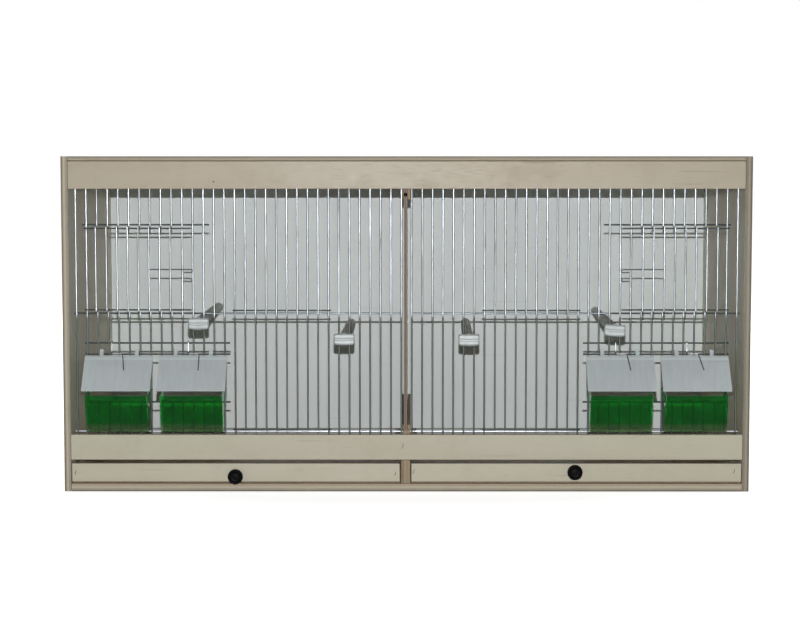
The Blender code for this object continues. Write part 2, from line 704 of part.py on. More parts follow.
def hood_hook_outline():
    """A hook that leaves the roof's root, passes over the lintel bar and turns down behind it."""
    inner = hook_arc(hook_inner_radius, 0, 180, 8, lintel_bar_z)
    outer_back = hook_arc(hook_outer_radius, 180, 100, 4, lintel_bar_z)
    return (
        [
            outwards(HOOD_ROOT_REACH + HOOD_WALL, -HOOD_ROOT_DROP - HOOD_WALL * 1.8, lintel_bar_z),
            outwards(HOOD_ROOT_REACH - HOOD_WALL * 0.3, -HOOD_ROOT_DROP - HOOD_WALL * 1.9, lintel_bar_z),
            outwards(hook_inner_radius, -hook_inner_radius, lintel_bar_z),
        ]
        + inner
        + [
            outwards(-hook_inner_radius, -HOOK_LEG, lintel_bar_z),
            outwards(-hook_outer_radius, -HOOK_LEG * 0.8, lintel_bar_z),
        ]
        + outer_back
        + [
            outwards(HOOK_WALL * 0.4, hook_inner_radius + HOOK_CROWN, lintel_bar_z),
            outwards(HOOK_WALL * 1.2, hook_inner_radius + HOOK_CROWN, lintel_bar_z),
        ]
    )


def hood_end_outline():
    """The three-cornered wall that closes each end of the hood."""
    inset = HOOD_WALL / 2
    return [
        outwards(HOOD_ROOT_REACH - inset, -HOOD_ROOT_DROP - inset, lintel_bar_z),
        outwards(HOOD_REACH - 2 * inset, -HOOD_DROP - inset * 0.5, lintel_bar_z),
        outwards(HOOD_ROOT_REACH - 2.2 * inset, -HOOD_DROP - inset * 0.5, lintel_bar_z),
    ]


dish_floor_rise = -DISH_DEPTH
dish_lean = (DISH_RIM_REACH - DISH_FLOOR_REACH) / (DISH_DEPTH + DISH_FRONT_RISE)
dish_back_rise = wire_radius + WIRE_CLEARANCE + HOOK_WALL * 0.8
above_dish = 4 * DISH_END_RISE


def dish_outline():
    """The dish seen from its end: upright behind, leaning out in front, higher at the back."""
    return [
        outwards(DISH_BACK_REACH, dish_floor_rise, sill_bar_z),
        outwards(DISH_FLOOR_REACH, dish_floor_rise, sill_bar_z),
        outwards(DISH_RIM_REACH, DISH_FRONT_RISE, sill_bar_z),
        outwards(DISH_BACK_REACH, DISH_END_RISE, sill_bar_z),
    ]


def dish_hollow_outline():
    """The dish's inside, which also lowers its back wall to the hooks."""
    floor_rise = dish_floor_rise + DISH_WALL
    wall_reach = DISH_WALL * math.hypot(1, dish_lean)
    front_reach = DISH_FLOOR_REACH + DISH_WALL * dish_lean - wall_reach
    back_reach = DISH_BACK_REACH + DISH_WALL
    return [
        outwards(back_reach, floor_rise, sill_bar_z),
        outwards(front_reach, floor_rise, sill_bar_z),
        outwards(front_reach + (above_dish - floor_rise) * dish_lean, above_dish, sill_bar_z),
        outwards(-DISH_BACK_REACH, above_dish, sill_bar_z),
        outwards(-DISH_BACK_REACH, dish_back_rise, sill_bar_z),
        outwards(back_reach, dish_back_rise, sill_bar_z),
    ]


def dish_hook_outline():
    """A hook from the dish's back wall over the sill bar."""
    top_rise = dish_back_rise - HOOK_WALL * 0.1
    under_rise = wire_radius + WIRE_CLEARANCE
    return [
        outwards(DISH_BACK_REACH + DISH_WALL / 2, top_rise, sill_bar_z),
        outwards(DISH_BACK_REACH + DISH_WALL / 2, under_rise, sill_bar_z),
        outwards(-hook_inner_radius, under_rise, sill_bar_z),
        outwards(-hook_inner_radius, -wire_radius * 2, sill_bar_z),
        outwards(-hook_inner_radius - HOOK_WALL / 2, -wire_radius * 2, sill_bar_z),
        outwards(-hook_inner_radius - HOOK_WALL / 2, top_rise, sill_bar_z),
    ]


def rounded(points, radius, steps):
    """A path with an arc in place of each of its inner corners."""
    path = [Vector(points[0])]
    for before, corner, after in zip(points, points[1:], points[2:]):
        corner = Vector(corner)
        inwards = (Vector(before) - corner).normalized()
        onwards = (Vector(after) - corner).normalized()
        half_angle = inwards.angle(onwards) / 2
        reach = radius / math.tan(half_angle)
        centre = corner + (inwards + onwards).normalized() * radius / math.sin(half_angle)
        first = corner + inwards * reach - centre
        last = corner + onwards * reach - centre
        for i in range(steps + 1):
            path.append(centre + radius * first.slerp(last, i / steps).normalized())
    path.append(Vector(points[-1]))
    return path


retainer_radius = RETAINER_DIAMETER / 2
retainer_eye = wire_radius + WIRE_CLEARANCE + retainer_radius
retainer_bend = 3 * retainer_radius


def retainer_path(middle_x, lean):
    """An eye round the clip bar, a leg down to the roof, a step across and a tail down the roof."""
    leg_x = middle_x - RETAINER_STEP / 2
    tail_x = middle_x + RETAINER_STEP / 2
    eye = [
        (leg_x, *point) for point in hook_arc(retainer_eye, 285, 0, 12, clip_bar_z)
    ]
    clear = retainer_radius + WIRE_CLEARANCE
    normal = (math.sin(roof_slope), math.cos(roof_slope))
    root = (HOOD_ROOT_REACH + clear * normal[0], -HOOD_ROOT_DROP + clear * normal[1])
    above_root = (root[0] - 0.0012, root[1] + 0.0012)
    tail = (
        root[0] + RETAINER_TAIL_DROP / math.tan(roof_slope),
        root[1] - RETAINER_TAIL_DROP,
    )
    corners = [
        eye[-1],
        (leg_x, *outwards(retainer_eye, above_root[1] + retainer_eye, lintel_bar_z)),
        (leg_x, *outwards(*above_root, lintel_bar_z)),
        (tail_x, *outwards(*above_root, lintel_bar_z)),
        (tail_x + lean, *outwards(*tail, lintel_bar_z)),
    ]
    return eye[:-1] + rounded(corners, retainer_bend, 3)


feeder_number = 0
for side_name, side in SIDES.items():
    for wire_number in FEEDER_WIRES if side < 0 else FEEDER_WIRES[::-1]:
        feeder_number += 1
        centre_x = wire_x(side, wire_number)
        hood_builder = bmesh.new()
        add_prism(hood_builder, hood_outline(), centre_x - hood_half_width, centre_x + hood_half_width)
        hood = add_object(f"feeder_hood_{feeder_number}", hood_builder, hood_plastic)
        extras = bmesh.new()
        dish_hooks = bmesh.new()
        for end in (-1, 1):
            wall_x = centre_x + end * end_wall_x
            add_prism(extras, hood_end_outline(), wall_x - end * HOOD_END_WALL, wall_x)
            hook_x = centre_x + end * HOOK_SPREAD / 2
            add_prism(extras, hood_hook_outline(), hook_x - HOOK_WIDTH / 2, hook_x + HOOK_WIDTH / 2)
            add_prism(dish_hooks, dish_hook_outline(), hook_x - HOOK_WIDTH / 2, hook_x + HOOK_WIDTH / 2)
        apply_boolean(hood, add_cutter(f"hood_extras_{feeder_number}", extras), "UNION")

        dish_builder = bmesh.new()
        add_prism(dish_builder, dish_outline(), centre_x - dish_half_width, centre_x + dish_half_width)
        dish = add_object(f"feeder_dish_{feeder_number}", dish_builder, green_plastic)
        hollow = bmesh.new()
        hollow_half_width = dish_half_width - DISH_WALL
        add_prism(
            hollow, dish_hollow_outline(), centre_x - hollow_half_width, centre_x + hollow_half_width
        )
        apply_boolean(dish, add_cutter(f"dish_hollow_{feeder_number}", hollow), "DIFFERENCE")
        apply_boolean(dish, add_cutter(f"dish_hooks_{feeder_number}", dish_hooks), "UNION")

        retainer_builder = bmesh.new()
        middle_x = centre_x + RETAINER_OFFSETS[feeder_number - 1]
        path = retainer_path(middle_x, RETAINER_TAIL_LEANS[feeder_number - 1])
        add_wire(retainer_builder, path, retainer_radius, (1, 0, 0))
        retainer = add_object(
            f"hood_retainer_{feeder_number}", retainer_builder, spring_wire, smooth=True
        )
        group_under(f"hood_hinge_{feeder_number}", (centre_x, bar_y, lintel_bar_z), [hood])
        group_under(f"dish_lift_{feeder_number}", (centre_x, bar_y, sill_bar_z), [dish])
        group_under(f"retainer_hinge_{feeder_number}", (centre_x, bar_y, clip_bar_z), [retainer])

# Perches: a ribbed rod from front to back, with a neck between two wires and a clip outside them.
# Each leans a little, so its rear end is shifted across and up.
perch_front_y = wire_y + wire_radius + 2 * CLIP_WIRE_CLEARANCE + 2 * wire_radius
clip_back_y = wire_y - wire_radius - CLIP_WIRE_CLEARANCE


def clip_section(x, back, drop, shy):
    """A clip's section at one point of its width: two ridges with a sagging groove between."""
    front = back - CLIP_THICKNESS + shy
    top = CLIP_HEIGHT / 2 - shy
    bottom = -CLIP_HEIGHT / 2 + shy - drop
    groove_top = CLIP_GROOVE_WIDTH / 2 - drop
    groove_low = -CLIP_GROOVE_WIDTH / 2 - drop
    edge = CLIP_GROOVE_DEPTH
    return [
        (x, back, bottom + edge),
        (x, back, top - edge),
        (x, back - edge, top),
        (x, front + 1.6 * edge, top),
        (x, front, top - 1.6 * edge),
        (x, front, groove_top + edge),
        (x, front + edge, groove_top),
        (x, front + edge, groove_low),
        (x, front, groove_low - edge * 0.6),
        (x, front, bottom + 1.6 * edge),
        (x, front + 1.6 * edge, bottom),
        (x, back - edge, bottom),
    ]


perch_gaps = ((-1, PERCH_OUTER_GAP), (-1, PERCH_INNER_GAP), (1, PERCH_INNER_GAP), (1, PERCH_OUTER_GAP))
peg_holes = bmesh.new()

for number in range(1, 5):
    side, gap = perch_gaps[number - 1]
    shift_x, shift_z = PERCH_REAR_SHIFTS[number - 1]
    front_z = bottom_rail_top_z + PERCH_HEIGHTS[number - 1]
    front_point = Vector((wire_x(side, gap + 0.5), wire_y, front_z))
    rear_point = Vector((front_point.x + shift_x, back_inner_y - GLUE_GAP, front_z + shift_z))
    axis = (rear_point - front_point).normalized()
    length = (rear_point - front_point).length
    end_slack = abs(axis.x) * PERCH_REAR_DIAMETER / 2 + abs(axis.z) * PERCH_REAR_DIAMETER / 2
    rod_end = length - end_slack
    rod_start = perch_front_y - wire_y
    neck_start = clip_back_y - CLIP_NECK_SEAT + GLUE_GAP - wire_y
    turn = Vector((0, 1, 0)).rotation_difference(axis).to_matrix().to_4x4()

    rod_builder = bmesh.new()
    ribbed = []
    for distance, diameter in (
        (rod_start, PERCH_FRONT_DIAMETER),
        (rod_end - PERCH_REAR_DIAMETER * 0.2, PERCH_REAR_DIAMETER),
        (rod_end, PERCH_REAR_DIAMETER * 0.8),
    ):
        ring = []
        for k in range(2 * PERCH_RIBS):
            angle = math.pi * k / PERCH_RIBS
            radius = diameter / 2 - (k % 2) * PERCH_RIB_HEIGHT
            ring.append((radius * math.cos(angle), distance, radius * math.sin(angle)))
        ribbed.append(ring)
    smooth_rings = []
    for distance, diameter in (
        (neck_start, PERCH_NECK_DIAMETER),
        (rod_start, PERCH_NECK_DIAMETER),
    ):
        ring = []
        for k in range(2 * PERCH_RIBS):
            angle = math.pi * k / PERCH_RIBS
            ring.append((diameter / 2 * math.cos(angle), distance, diameter / 2 * math.sin(angle)))
        smooth_rings.append(ring)
    peg_rings = []
    for distance in (rod_end, rod_end + end_slack + PERCH_PEG_LENGTH):
        ring = []
        for k in range(2 * PERCH_RIBS):
            angle = math.pi * k / PERCH_RIBS
            radius = PERCH_PEG_DIAMETER / 2
            ring.append((radius * math.cos(angle), distance, radius * math.sin(angle)))
        peg_rings.append(ring)
    add_rings(rod_builder, smooth_rings + ribbed + peg_rings)
    rod = add_object(f"perch_rod_{number}", rod_builder, perch_plastic, smooth=True)

    clip_builder = bmesh.new()
    clip_high_y = clip_back_y - wire_y
    clip_rings = []
    for share in (-1, -0.9, -0.5, 0, 0.5, 0.9, 1):
        drop = CLIP_SAG * (1 - share * share)
        shy = CLIP_END_ROUNDING if abs(share) == 1 else 0
        clip_rings.append(clip_section(share * CLIP_WIDTH / 2, clip_high_y, drop, shy))
    add_rings(clip_builder, clip_rings)
    tilt = Matrix.Rotation(math.radians(PERCH_CLIP_TILTS[number - 1]), 4, "Y")
    bmesh.ops.transform(clip_builder, matrix=tilt, verts=clip_builder.verts)
    clip = add_object(f"perch_clip_{number}", clip_builder, clip_plastic)
    socket_builder = bmesh.new()
    socket_radius = PERCH_NECK_DIAMETER / 2 + GLUE_GAP
    socket_profile = [(socket_radius, -CLIP_NECK_SEAT), (socket_radius, 2 * CLIP_NECK_SEAT)]
    add_turned(socket_builder, socket_profile, (0, clip_high_y, 0), (0, 1, 0), 24)
    socket = add_cutter(f"clip_socket_{number}", socket_builder)
    apply_boolean(clip, socket, "DIFFERENCE")

    hinge = group_under(f"perch_axis_{number}", (0, 0, 0), [rod, clip, socket])
    hinge.matrix_world = Matrix.Translation(front_point) @ turn
    hole_profile = [
        (PERCH_PEG_DIAMETER / 2 + GLUE_GAP, length - BACK_THICKNESS),
        (PERCH_PEG_DIAMETER / 2 + GLUE_GAP, length + 2 * BACK_THICKNESS),
    ]
    add_turned(peg_holes, hole_profile, front_point, axis, 24)

apply_boolean(back, add_cutter("peg_holes", peg_holes), "DIFFERENCE")
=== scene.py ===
"""The looks of a double breeding cage for small birds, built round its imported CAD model.

Metres, Z up. X runs along the front, -Y faces the viewer, and the origin is the centre of the
base panel's underside. Left and right are as seen from the front.
"""

import math

import bmesh
import bpy
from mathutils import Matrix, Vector


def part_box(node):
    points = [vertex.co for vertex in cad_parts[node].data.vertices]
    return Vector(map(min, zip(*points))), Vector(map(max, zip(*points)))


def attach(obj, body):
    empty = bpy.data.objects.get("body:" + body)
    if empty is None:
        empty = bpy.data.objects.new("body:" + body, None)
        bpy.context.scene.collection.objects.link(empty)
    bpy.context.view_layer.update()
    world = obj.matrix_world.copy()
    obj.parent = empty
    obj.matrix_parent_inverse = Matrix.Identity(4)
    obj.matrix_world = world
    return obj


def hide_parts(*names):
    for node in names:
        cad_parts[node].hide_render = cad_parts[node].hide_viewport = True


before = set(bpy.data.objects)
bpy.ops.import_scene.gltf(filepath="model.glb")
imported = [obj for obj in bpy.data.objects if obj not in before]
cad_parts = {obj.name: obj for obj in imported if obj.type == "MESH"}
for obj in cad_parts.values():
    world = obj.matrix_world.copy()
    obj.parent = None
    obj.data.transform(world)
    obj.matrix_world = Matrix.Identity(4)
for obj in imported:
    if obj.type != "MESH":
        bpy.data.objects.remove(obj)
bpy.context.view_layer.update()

# Outer boards: two sides, a top and a base of birch plywood under a clear satin varnish.
# They are sawn square, sanded at the corners, glued and pinned, and show their layers at each edge.
# The sides' inner faces are bare, streaky wood, painted much paler than the outer faces as painted
# light for the dim inside.

birch_pale = (0.455, 0.420, 0.330)
birch_warm = (0.395, 0.345, 0.258)
birch_pore = (0.250, 0.200, 0.135)
bare_lightened_green = (0.740, 0.760, 0.620)
bare_lightened_red = (0.800, 0.690, 0.560)
layer_cream = (0.480, 0.430, 0.335)
layer_tan = (0.320, 0.288, 0.225)
layer_red = (0.400, 0.320, 0.222)
layer_brown = (0.240, 0.192, 0.138)
skin_dark = (0.110, 0.094, 0.070)
sanded_corner = 0.0005


def put(tree, kind, options=None, **sockets):
    """Adds a node, sets its options, and sets or links its inputs by name."""
    node = tree.nodes.new(kind)
    for option, value in (options or {}).items():
        setattr(node, option, value)
    for name, value in sockets.items():
        socket = node.inputs[int(name[1:]) if name[0] == "_" else name.replace("_", " ")]
        if isinstance(value, bpy.types.NodeSocket):
            tree.links.new(value, socket)
        else:
            socket.default_value = value
    return node


def new_group(name, inputs, outputs, tree_type="ShaderNodeTree"):
    """An empty node group with named inputs and outputs, and its two end nodes' sockets."""
    group = bpy.data.node_groups.new(name, tree_type)
    add_socket = group.interface.new_socket
    for socket_name, kind, value in inputs:
        socket = add_socket(socket_name, in_out="INPUT", socket_type="NodeSocket" + kind)
        if value is not None:
            socket.default_value = value
    for socket_name, kind in outputs:
        add_socket(socket_name, in_out="OUTPUT", socket_type="NodeSocket" + kind)
    given = group.nodes.new("NodeGroupInput").outputs
    result = group.nodes.new("NodeGroupOutput").inputs
    return group, given, result


def blend_colours(tree, share, low, high, mode="MIX"):
    """The colour between two others, or one laid on the other."""
    node = tree.nodes.new("ShaderNodeMix")
    node.data_type = "RGBA"
    node.blend_type = mode
    for index, value in ((0, share), (6, low), (7, high)):
        if isinstance(value, bpy.types.NodeSocket):
            tree.links.new(value, node.inputs[index])
        elif index == 0:
            node.inputs[index].default_value = value
        else:
            node.inputs[index].default_value = (*value[:3], 1.0)
    return node.outputs[2]


def between(tree, value, low, high, new_low=0.0, new_high=1.0):
    """A value stretched from one range to another, and held at its ends."""
    return put(tree, "ShaderNodeMapRange", None, Value=value, From_Min=low, From_Max=high,
               To_Min=new_low, To_Max=new_high).outputs["Result"]


def compute(tree, operation, first, second=0.0, third=0.0):
    """One sum on two or three values."""
    return put(tree, "ShaderNodeMath", {"operation": operation},
               _0=first, _1=second, _2=third).outputs[0]


def noise(tree, where, scale, detail, **more):
    """The grey value of a noise pattern, which is stretched if it has a scale for each axis."""
    if isinstance(scale, tuple):
        where = put(tree, "ShaderNodeMapping", None, Vector=where, Scale=scale).outputs[0]
        scale = 1.0
    return put(tree, "ShaderNodeTexNoise", None, Vector=where, Scale=scale, Detail=detail,
               **more).outputs["Fac"]


def new_material(name):
    """A new material, its tree, its shader, and the node that gives places on the piece."""
    material = bpy.data.materials.new(name)
    material.use_nodes = True
    tree = material.node_tree
    return material, tree, tree.nodes["Principled BSDF"], put(tree, "ShaderNodeTexCoord")


def lay_on(tree, shader, colour, roughness, height, strength, distance):
    """Links a colour, a roughness and a fine relief to a shader."""
    tree.links.new(colour, shader.inputs["Base Color"])
    tree.links.new(roughness, shader.inputs["Roughness"])
    bump = put(tree, "ShaderNodeBump", None, Height=height, Strength=strength, Distance=distance)
    tree.links.new(bump.outputs["Normal"], shader.inputs["Normal"])


# Grain: wide faint figure and short fine pores, which run along the given X
wood_grain, given, result = new_group(
    "wood_grain",
    [("Along", "Vector", None), ("Pale", "Color", (*birch_pale, 1)),
     ("Warm", "Color", (*birch_warm, 1)), ("Pore", "Color", (*birch_pore, 1)),
     ("Figure", "Float", 0.5)],
    [("Color", "Color"), ("Height", "Float"), ("Sheen", "Float")])
wide = noise(wood_grain, given["Along"], (1.3, 9.0, 9.0), 3.0, Roughness=0.5, Distortion=0.5)
rings = compute(wood_grain, "SINE", compute(wood_grain, "MULTIPLY", wide, 46.0))
ring_share = between(wood_grain, rings, -1.0, 1.0)
fine = noise(wood_grain, given["Along"], (60.0, 1100.0, 1100.0), 2.0)
pores = between(wood_grain, fine, 0.6, 0.74)
drift_share = between(wood_grain, noise(wood_grain, given["Along"], 3.2, 2.0), 0.32, 0.68)
figure_share = compute(wood_grain, "MULTIPLY", ring_share, given["Figure"])
warmth = compute(wood_grain, "MULTIPLY_ADD", drift_share, 0.45, figure_share)
ground = blend_colours(wood_grain, warmth, given["Pale"], given["Warm"])
pore_share = compute(wood_grain, "MULTIPLY", pores, 0.30)
wood_grain.links.new(blend_colours(wood_grain, pore_share, ground, given["Pore"]), result["Color"])
wood_grain.links.new(compute(wood_grain, "MULTIPLY_ADD", pores, -0.7, ring_share), result["Height"])
wood_grain.links.new(between(wood_grain, fine, 0.3, 0.7), result["Sheen"])

# Layers: thin veneers laid crosswise, which wander a little, and whose ends are rough and speckled
ply_layers, given, result = new_group(
    "ply_layers", [("Across", "Float", 0.0), ("Place", "Vector", None)],
    [("Layer", "Float"), ("Speck", "Float"), ("Height", "Float")])
wander = noise(ply_layers, given["Place"], 28.0, 3.0)
wandering = compute(ply_layers, "MULTIPLY_ADD", wander, 0.12, -0.06)
fibre = noise(ply_layers, given["Place"], 900.0, 3.0)
ply_layers.links.new(compute(ply_layers, "ADD", given["Across"], wandering), result["Layer"])
ply_layers.links.new(between(ply_layers, fibre, 0.35, 0.75, 0.0, 0.3), result["Speck"])
ply_layers.links.new(fibre, result["Height"])

# Handling: soft grey smudges and a few fine scratches from years of use
handling, given, result = new_group(
    "handling",
    [("Color", "Color", (1, 1, 1, 1)), ("Place", "Vector", None), ("Amount", "Float", 0.3)],
    [("Color", "Color"), ("Smudge", "Float")])
smudge = noise(handling, given["Place"], 26.0, 6.0, Roughness=0.7)
smudge_share = between(handling, smudge, 0.52, 0.78, 0.0, 0.6)
scratch_place = put(handling, "ShaderNodeMapping", None, Vector=given["Place"],
                    Rotation=(0.3, 0.5, 0.4), Scale=(9.0, 260.0, 260.0))
scratch_share = between(handling, noise(handling, scratch_place.outputs[0], 1.0, 1.0), 0.73, 0.78)
marks = compute(handling, "MAXIMUM", smudge_share, scratch_share)
dirt = compute(handling, "MULTIPLY", marks, given["Amount"])
dimmed = blend_colours(handling, 1.0, given["Color"], (0.62, 0.59, 0.54), mode="MULTIPLY")
handling.links.new(blend_colours(handling, dirt, given["Color"], dimmed), result["Color"])
handling.links.new(dirt, result["Smudge"])


def handled(tree, colour, place, amount):
    """A colour with marks of handling on it."""
    return put(tree, "ShaderNodeGroup", {"node_tree": handling}, Color=colour,
               Place=place.outputs["Object"], Amount=amount)


def plies(count, tint=(1.0, 1.0, 1.0)):
    """The edge of a board as (share of its thickness, colour): cream and brown veneers by turns."""
    layers = []
    for k in range(count):
        colour = [a * b for a, b in zip(layer_brown if k % 2 else layer_cream, tint)]
        layers += [((k + 0.16) / count, colour), ((k + 0.84) / count, colour)]
    return layers


def plywood_finish(name, node, thickness_axis, grain_axis, layers, figure=0.22,
                   tint=(1.0, 1.0, 1.0), bare_side=0, rough=0.38):
    """Varnished birch plywood: grain on its faces, of which one may be bare wood painted paler as
    painted light, and layered edges.
    """
    low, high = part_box(node)
    material, tree, shader, place = new_material(name)
    turns = {"X": (0.0, 0.0, 0.0), "Y": (0.0, 0.0, math.pi / 2), "Z": (0.0, math.pi / 2, 0.0)}
    along = put(tree, "ShaderNodeMapping", None, Vector=place.outputs["Object"],
                Rotation=turns[grain_axis], Location=(0.37 * len(name), 0.11 * len(node), 0.0))
    grain = put(tree, "ShaderNodeGroup", {"node_tree": wood_grain}, Along=along.outputs[0],
                Figure=figure,
                Pale=(*[a * b for a, b in zip(birch_pale, tint)], 1.0),
                Warm=(*[a * b for a, b in zip(birch_warm, tint)], 1.0))
    parts = put(tree, "ShaderNodeSeparateXYZ", None, Vector=place.outputs["Object"])
    facing = put(tree, "ShaderNodeSeparateXYZ", None, Vector=place.outputs["Normal"])
    axis = "XYZ".index(thickness_axis)
    across = between(tree, parts.outputs[thickness_axis], low[axis], high[axis])
    edges = put(tree, "ShaderNodeGroup", {"node_tree": ply_layers}, Across=across,
                Place=place.outputs["Object"])
    veneers = put(tree, "ShaderNodeValToRGB", None, Fac=edges.outputs["Layer"])
    for k, (share, colour) in enumerate(layers):
        stops = veneers.color_ramp.elements
        stop = stops[k] if k < 2 else stops.new(share)
        stop.position, stop.color = share, (*colour, 1.0)
    edge_colour = blend_colours(tree, edges.outputs["Speck"], veneers.outputs["Color"], birch_pore)
    slant = compute(tree, "ABSOLUTE", facing.outputs[thickness_axis])
    is_edge = compute(tree, "LESS_THAN", slant, 0.72)
    face_colour = grain.outputs["Color"]
    # The bare inner face is painted paler than the varnished faces, as painted light.
    if bare_side:
        streaks = noise(tree, along.outputs[0], (1.5, 34.0, 34.0), 3.0)
        raw = blend_colours(tree, between(tree, streaks, 0.36, 0.64), bare_lightened_green, bare_lightened_red)
        inward = compute(tree, "MULTIPLY", facing.outputs[thickness_axis], float(bare_side))
        face_colour = blend_colours(tree, compute(tree, "GREATER_THAN", inward, 0.72), face_colour,
                                    blend_colours(tree, 0.75, face_colour, raw))
    whole = blend_colours(tree, is_edge, face_colour, edge_colour)
    used = handled(tree, whole, place, 0.30)
    varnish = compute(tree, "MULTIPLY_ADD", grain.outputs["Sheen"], 0.12, rough)
    wear_and_highlight = compute(tree, "MULTIPLY_ADD", used.outputs["Smudge"], 0.5, varnish)
    shader.inputs["Specular IOR Level"].default_value = 0.36
    shader.inputs["Coat Weight"].default_value = 0.04
    shader.inputs["Coat Roughness"].default_value = rough
    edge_height = compute(tree, "MULTIPLY", edges.outputs["Height"], is_edge)
    lay_on(tree, shader, used.outputs["Color"], compute(tree, "MULTIPLY_ADD", is_edge, 0.2, wear_and_highlight),
           compute(tree, "MULTIPLY_ADD", edge_height, 1.5, grain.outputs["Height"]), 0.25, 0.00025)
    return material


def merged_copy(node):
    """A closed bmesh of a CAD node, with its loose triangles joined and its flat faces whole."""
    builder = bmesh.new()
    builder.from_mesh(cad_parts[node].data)
    bmesh.ops.remove_doubles(builder, verts=builder.verts, dist=2e-6)
    bmesh.ops.dissolve_limit(builder, angle_limit=math.radians(0.5), verts=builder.verts,
                             edges=builder.edges)
    return builder


def add_made(name, mesh, body, stands_for=()):
    """Makes a mesh into a piece of the cage that rides on a body and stands for its CAD nodes."""
    mesh.shade_smooth()
    mesh.set_sharp_from_angle(angle=math.radians(50.0))
    piece = bpy.data.objects.new(name, mesh)
    bpy.context.scene.collection.objects.link(piece)
    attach(piece, body)
    if stands_for:
        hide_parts(*stands_for)
    return piece


def add_piece(name, builder, material, body, stands_for=()):
    """Makes a bmesh into a piece of the cage in one material, with true flat faces."""
    mesh = bpy.data.meshes.new(name)
    builder.to_mesh(mesh)
    builder.free()
    mesh.materials.append(material)
    piece = add_made(name, mesh, body, stands_for)
    piece.modifiers.new("flat_faces", "WEIGHTED_NORMAL").keep_sharp = True


def add_rounded(name, node, material, body, rounding, angle=40.0):
    """A CAD node with every corner rounded that is sharper than an angle."""
    builder = merged_copy(node)
    sharp = [edge for edge in builder.edges
             if edge.is_manifold and edge.calc_face_angle() > math.radians(angle)]
    bmesh.ops.bevel(builder, geom=sharp, offset=rounding, offset_type="OFFSET", segments=2,
                    profile=0.5, affect="EDGES", clamp_overlap=True)
    add_piece(name, builder, material, body, [node])


def sanded_board(node, material, body="cabinet", rounding=sanded_corner):
    """A board of the cabinet with sanded corners."""
    add_rounded(node + "_sanded", node, material, body, rounding)


def ply_board(node, finish, thickness_axis, grain_axis, layers, body="cabinet", **looks):
    """A sanded board in plywood of its own."""
    material = plywood_finish(finish, node, thickness_axis, grain_axis, layers, **looks)
    sanded_board(node, material, body)


side_layers = [(0.0, skin_dark), (0.10, skin_dark), (0.20, layer_brown), (0.32, layer_tan),
               (0.38, layer_cream), (0.58, layer_cream), (0.66, layer_tan), (0.86, layer_tan),
               (0.94, layer_brown)]
# The right side's layers are mirrored and darkened, as painted shade on its edge.
shaded_layers = [(1.0 - share, [0.66 * c for c in colour])
                 for share, colour in reversed(side_layers)]
top_layers = [(0.0, skin_dark), (0.08, layer_brown), (0.24, layer_brown), (0.32, layer_cream),
              (0.44, layer_cream), (0.54, layer_tan), (0.80, layer_tan), (0.88, skin_dark),
              (1.0, skin_dark)]
base_layers = [(0.0, skin_dark), (0.13, skin_dark), (0.20, layer_tan), (0.36, layer_tan),
               (0.42, layer_cream), (0.66, layer_cream), (0.72, layer_red), (1.0, layer_red)]
side_tint = (1.04, 1.00, 0.93)
ply_board("side_panel_left", "side_ply_left", "X", "Z", side_layers, figure=0.8, tint=side_tint,
          bare_side=1)
ply_board("side_panel_right", "side_ply_right", "X", "Z", shaded_layers, figure=0.8, tint=side_tint,
          bare_side=-1)
ply_board("top_panel", "top_ply", "Z", "X", top_layers, figure=0.8, tint=side_tint, rough=0.62)
ply_board("base_panel", "base_ply", "Z", "X", base_layers, figure=0.8)

# Back panel: a thin brown hardboard with a smooth white inner face, let in between the sides.
# A small hole in it takes the peg on the end of each perch.

board_white = (0.680, 0.718, 0.724)
board_grey = (0.600, 0.636, 0.640)
hardboard_brown = (0.300, 0.210, 0.130)


def hardboard_finish(name, face_axis, face_sign, paint=1.0, fibre=1.0):
    """Hardboard painted white on one face, and bare brown fibre elsewhere."""
    material, tree, shader, place = new_material(name)
    strokes = noise(tree, place.outputs["Object"], (95.0, 95.0, 2.2), 4.0)
    clouds = noise(tree, place.outputs["Object"], 5.5, 3.0)
    peel = noise(tree, place.outputs["Object"], 420.0, 2.0)
    shade = compute(tree, "ADD", between(tree, strokes, 0.3, 0.7, 0.0, 0.35),
                    between(tree, clouds, 0.35, 0.65, 0.0, 0.45))
    painted = blend_colours(tree, shade, [paint * c for c in board_white],
                            [paint * c for c in board_grey])
    fibres = blend_colours(tree, between(tree, peel, 0.35, 0.7),
                           [fibre * c for c in hardboard_brown],
                           [0.62 * fibre * c for c in hardboard_brown])
    facing = put(tree, "ShaderNodeSeparateXYZ", None, Vector=place.outputs["Normal"])
    outward = compute(tree, "MULTIPLY", facing.outputs[face_axis], face_sign)
    is_face = compute(tree, "GREATER_THAN", outward, 0.5)
    used = handled(tree, blend_colours(tree, is_face, fibres, painted), place, 0.22)
    lay_on(tree, shader, used.outputs["Color"], compute(tree, "MULTIPLY_ADD", peel, 0.2, 0.38),
           peel, 0.12, 0.0002)
    return material


def paint_as_it_is(node, material):
    """Gives a CAD node its material and leaves its shape alone."""
    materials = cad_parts[node].data.materials
    materials.clear()
    materials.append(material)


paint_as_it_is("back_panel", hardboard_finish("back_hardboard", "Y", -1.0))

# Rails: two plywood strips across the front, each grooved to hold the ends of the wires.
# The upper one has one pin driven in from the front, and the lower one has a staple over the post.

ply_board("top_rail", "top_rail_ply", "Y", "X", plies(7), tint=(0.84, 0.80, 0.76))
ply_board("bottom_rail", "bottom_rail_ply", "Y", "X", plies(7), tint=(1.01, 1.04, 1.03))

# Centre: a post between the drawers, a header above, and four strips that guide the divider.
# The strips are sawn from the same plywood and glued to the post and the header.

